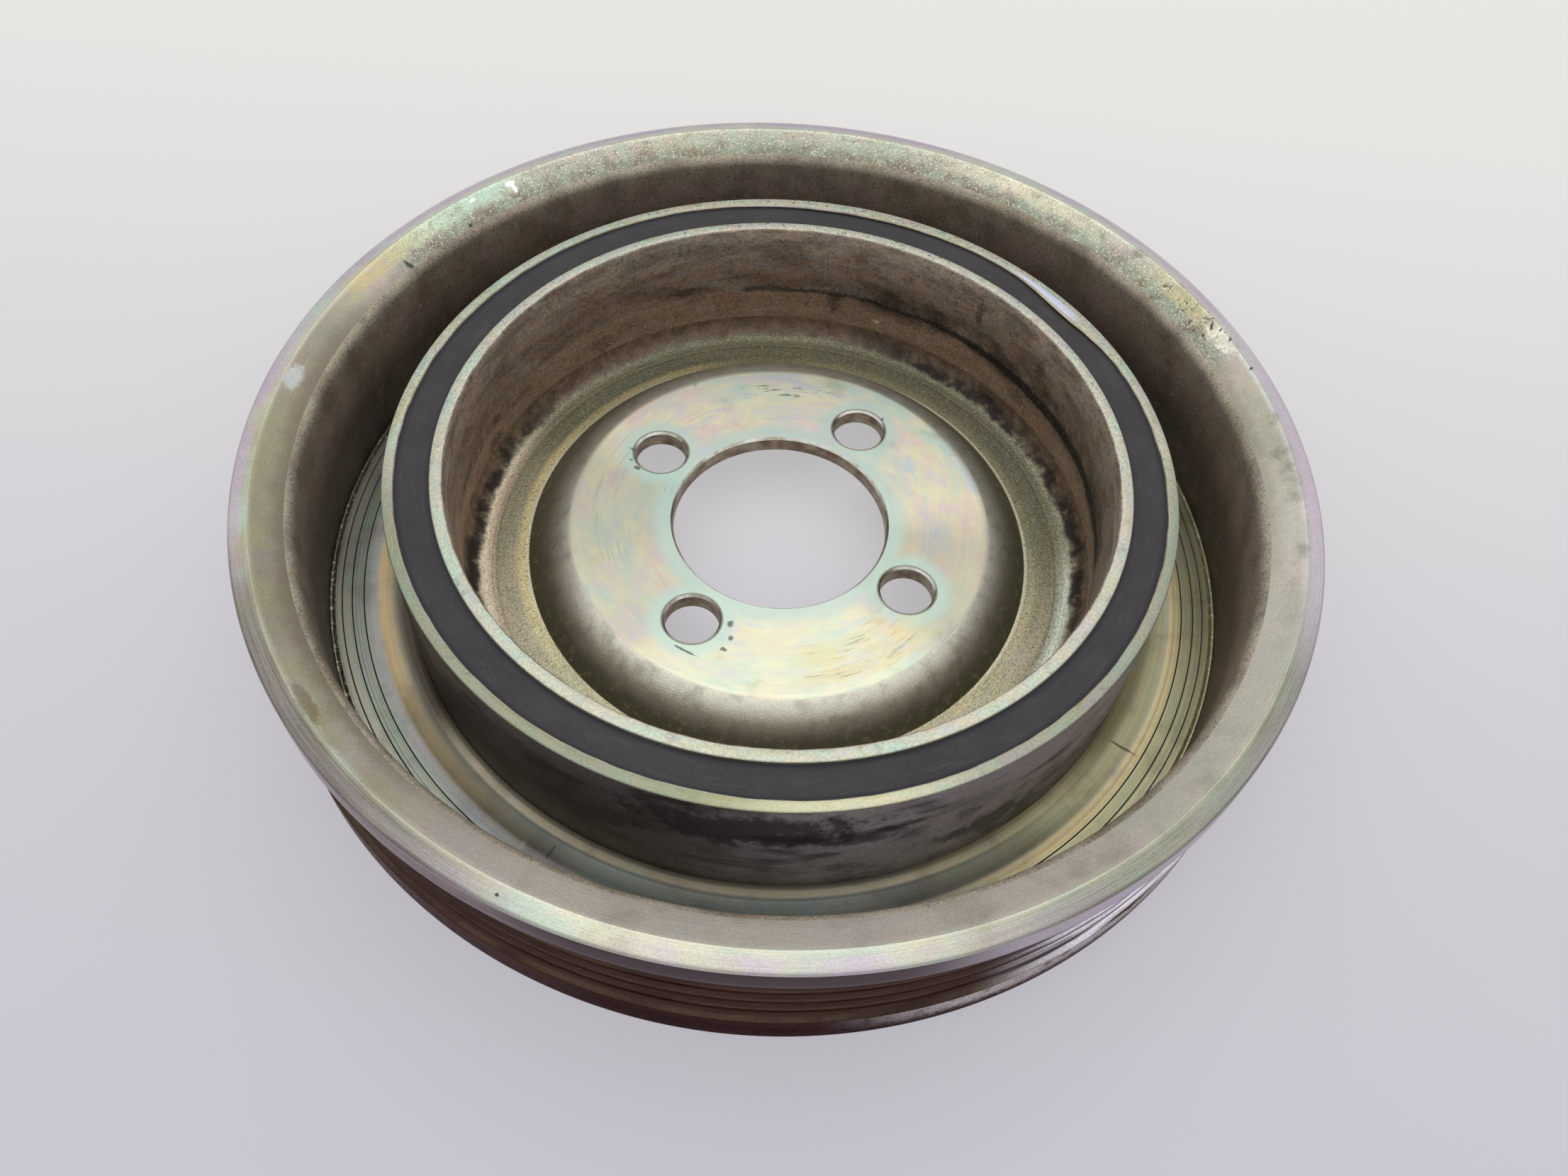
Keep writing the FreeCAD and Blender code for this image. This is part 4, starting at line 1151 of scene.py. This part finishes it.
def smeared_sleeve_rim(radius, height, azimuth):
    """Smears the sleeve's inner top edge over the rubber: it moves inwards by bumps round the axis."""
    near_edge = np.clip(1 - np.hypot(radius - SLEEVE_INSIDE, height - 19.95) / 0.8, 0, 1)
    bumps = 0.06 * ripple(azimuth, 8, 6, 90)
    for middle, width, reach in ((24.0, 9.0, 1.5), (66.0, 22.0, 0.6), (-118.0, 14.0, 0.2)):
        away = (azimuth - middle + 180) % 360 - 180
        bumps = bumps + reach * np.exp(-((away / width) ** 2))
    return radius - near_edge * np.clip(bumps, -0.05, 1.6), height


def ragged_burr(radius, height, azimuth):
    """Raises the web's outer ring into a ragged burr, up to about 0.6 mm high, by a ripple round the axis."""
    near_ring = np.clip(1 - np.hypot(radius - BURR, height + 4.4) / 0.2, 0, 1)
    return radius, height + near_ring * (0.25 + 0.22 * ripple(azimuth, 11, 60, 170))


def rubber_piece(materials):
    """A ring of rubber: straight sides, and ends that dip along a parabola, most in the middle."""
    dip = RUBBER_DIP * (1 - np.linspace(-1, 1, 13) ** 2)
    top = np.stack([np.linspace(SLEEVE_INSIDE, CUP_OUTSIDE, 13), RUBBER_TOP - dip], axis=1)
    bottom = np.stack([np.linspace(CUP_OUTSIDE, SLEEVE_INSIDE, 13), RUBBER_FOOT + dip], axis=1)
    piece = Piece()
    piece.add(turned(np.concatenate([bottom, top])), "rubber", rows_closed=True)
    return piece.build("rubber", materials)


def sleeve_piece(materials):
    """The sleeve's thin section carried round the axis, with its inner top edge smeared over the rubber."""
    corners = [
        (SLEEVE_INSIDE, BASE, 0.0, "plain"), (SLEEVE_OUTSIDE, BASE, 0.0, "soot"),
        (SLEEVE_OUTSIDE, SLEEVE_TOP, 0.25, "edge"), (SLEEVE_INSIDE, SLEEVE_TOP, 0.25, "hidden"),
    ]
    path, finishes = section_path(corners, LONGEST_STEP)
    piece = Piece()
    piece.add(turned(path, smeared_sleeve_rim), finishes, rows_closed=True)
    return piece.build("sleeve_steel", materials)


def groove_corners():
    """The belt grooves' outline from the lowest up: in along one flank, a flat floor, out along the next."""
    mouth, floor, rounding = 1.28, 0.2245, 0.12
    outline = ((RIB_TIPS, -mouth), (GROOVE_FLOOR, -floor), (GROOVE_FLOOR, floor), (RIB_TIPS, mouth))
    corners = []
    for index in range(GROOVES):
        middle = LOWEST_GROOVE + GROOVE_PITCH * index
        corners += [(radius, middle + away, rounding, "rib") for radius, away in outline]
    return corners


def rim_piece(materials):
    """The grooved rim's whole section, from the base round the grooves to the lip, carried round the axis.

    The web's dish is a parabola across: its depth times 1 - (distance from its middle / its half) squared.
    """
    corners = [
        (SLEEVE_OUTSIDE, BASE, 0.0, "plain"), (FLANGE_EDGE, BASE, 1.0, "flange"),
        (FLANGE_EDGE, -1.2, 0.15, "rib"),
        *groove_corners(),
        (LIP_EDGE, 16.382, 0.2, "face"), (LIP_EDGE, 21.282, 0.6, "lip"), (80.8, 21.682, 0.3, "lip"),
        (RIM_WALL, 18.777, 2.2, "wall"), (RIM_WALL, WEB_TOP, 0.15, "web"),
    ]
    web = [(BURR + 0.25, WEB_TOP), (BURR, -4.4), (BURR - 0.25, WEB_TOP)]
    for line in WEB_LINES:
        web += [(line + LINE_HALF, WEB_TOP), (line, WEB_TOP - LINE_DEPTH), (line - LINE_HALF, WEB_TOP)]
    across = np.linspace(DISH_MIDDLE + DISH_HALF, DISH_MIDDLE - DISH_HALF, 9)
    dish = WEB_TOP - DISH_DEPTH * (1 - ((across - DISH_MIDDLE) / DISH_HALF) ** 2)
    corners += [(radius, height, 0.0, "web") for radius, height in (*web, *zip(across, dish))]
    corners.append((SLEEVE_OUTSIDE, WEB_TOP, 0.0, "joint"))
    path, finishes = section_path(corners, LONGEST_STEP)
    piece = Piece()
    piece.add(turned(path, ragged_burr), finishes, rows_closed=True)
    return piece.build("grooved_rim", materials)


plain = hidden_plating()
hub = hub_piece({
    "seat": faced_seat(), "chamfer": bare_edge(), "shoulder": satin_shoulder(), "trough": sandy_trough(),
    "wall": stained_cup_wall(), "edge": cup_rim_edge(), "plain": plain, "bore": bored_wall(),
})
rubber = rubber_piece({"rubber": bonded_rubber()})
sleeve = sleeve_piece({"soot": sooty_sleeve(), "edge": sleeve_rim_edge(), "plain": plain, "hidden": plain})
rim = rim_piece({
    "plain": plain, "flange": dull_flange(), "rib": sooty_ribs(), "face": smooth_face(), "lip": brushed_lip(),
    "wall": sooty_rim_wall(), "web": turned_web(), "joint": plain,
})

for piece, node in ((hub, "hub"), (rubber, "rubber_ring"), (sleeve, "sleeve"), (rim, "pulley_rim")):
    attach(piece, "root")
    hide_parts(node)


# Room

def paper():
    """Matt white paper, a little darker and bluer towards the viewer as painted fall-off of the light; seen
    from below it vanishes.

    To the camera and in reflections it is partly its own plain colour, so the shadow on it is faint.
    """
    material = bpy.data.materials.new("White paper")
    material.use_nodes = True
    nodes = Nodes(material.node_tree)
    shader = material.node_tree.nodes["Principled BSDF"]
    # Painted fall-off of the light: the paper is darker and bluer towards the viewer.
    away = nodes.vector("DOT_PRODUCT", nodes.use(ROUND_AXIS)["Place"], (0.259, 0.966, 0.0))
    near, far = linear((204, 201, 211)), linear((234, 233, 229))
    colour = nodes.mix(nodes.steps(away, -150.0, 190.0), near, far)
    nodes.feed(shader.inputs["Base Color"], colour)
    shader.inputs["Roughness"].default_value = 0.9
    plain = nodes.new("ShaderNodeEmission")
    nodes.feed(plain.inputs["Color"], colour)
    path = nodes.new("ShaderNodeLightPath").outputs
    seen = nodes.math("MAXIMUM", path["Is Camera Ray"], path["Is Glossy Ray"])
    lit = nodes.new("ShaderNodeMixShader")
    nodes.feed(lit.inputs[0], nodes.math("MULTIPLY", seen, 0.6))
    nodes.feed(lit.inputs[1], shader.outputs[0])
    nodes.feed(lit.inputs[2], plain.outputs[0])
    clear = nodes.new("ShaderNodeBsdfTransparent")
    swap = nodes.new("ShaderNodeMixShader")
    nodes.feed(swap.inputs[0], nodes.new("ShaderNodeNewGeometry").outputs["Backfacing"])
    nodes.feed(swap.inputs[1], lit.outputs[0])
    nodes.feed(swap.inputs[2], clear.outputs[0])
    nodes.feed(material.node_tree.nodes["Material Output"].inputs["Surface"], swap.outputs[0])
    return material


def lay_paper():
    """One big flat sheet just under the pulley."""
    half, height = 3.0, BASE * MM
    mesh = bpy.data.meshes.new("paper")
    corners = [(-half, -half, height), (half, -half, height), (half, half, height), (-half, half, height)]
    mesh.from_pydata(corners, [], [(0, 1, 2, 3)])
    mesh.materials.append(paper())
    sheet = bpy.data.objects.new("paper", mesh)
    bpy.context.collection.objects.link(sheet)
    return sheet


def light_room():
    """A pale sky that is brightest overhead, and one broad soft lamp above and behind the pulley."""
    world = bpy.data.worlds.new("Room")
    world.use_nodes = True
    bpy.context.scene.world = world
    nodes = Nodes(world.node_tree)
    background = world.node_tree.nodes["Background"]
    _, _, up = nodes.separate(nodes.new("ShaderNodeTexCoord").outputs["Generated"])
    sky = nodes.ramp(
        nodes.math("MULTIPLY_ADD", up, 0.5, 0.5),
        (0.0, (0.50, 0.49, 0.50)), (0.5, (0.45, 0.44, 0.45)), (0.59, (0.52, 0.51, 0.52)),
        (0.75, (0.76, 0.76, 0.77)), (0.88, (0.93, 0.93, 0.94)), (1.0, (1.0, 1.0, 1.0)),
    )
    nodes.feed(background.inputs["Color"], sky)
    background.inputs["Strength"].default_value = 1.0
    lamp = bpy.data.lights.new("Window", "AREA")
    lamp.shape, lamp.size, lamp.size_y, lamp.energy = "RECTANGLE", 0.9, 0.6, 1.1
    window = bpy.data.objects.new("Window", lamp)
    window.matrix_world = Matrix.Translation((0.10, 0.36, 1.0)) @ Matrix.Rotation(math.radians(-20), 4, "X")
    bpy.context.collection.objects.link(window)
    return window


def set_camera():
    """The photograph's view: 215 mm from the seat's centre, looking down at 55 degrees, rolled 5 degrees.

    The focal length is 1800 pixels in a frame that is 2212 pixels wide.
    """
    frame_width, focal_pixels = 2212, 1800
    data = bpy.data.cameras.new("Camera")
    data.sensor_width = 36.0
    data.lens = data.sensor_width * focal_pixels / frame_width
    data.clip_start = 0.01
    camera = bpy.data.objects.new("Camera", data)
    turned_to = Matrix.Rotation(math.radians(-15.0), 4, "Z")
    stand = Matrix.Translation((0.001645, -0.1338, 0.171433))
    tilt = Matrix.Rotation(math.radians(35.36), 4, "X") @ Matrix.Rotation(math.radians(4.83), 4, "Z")
    camera.matrix_world = turned_to @ stand @ tilt
    bpy.context.collection.objects.link(camera)
    bpy.context.scene.camera = camera


lay_paper()
light_room()
set_camera()
bpy.context.scene.view_settings.view_transform = "Standard"
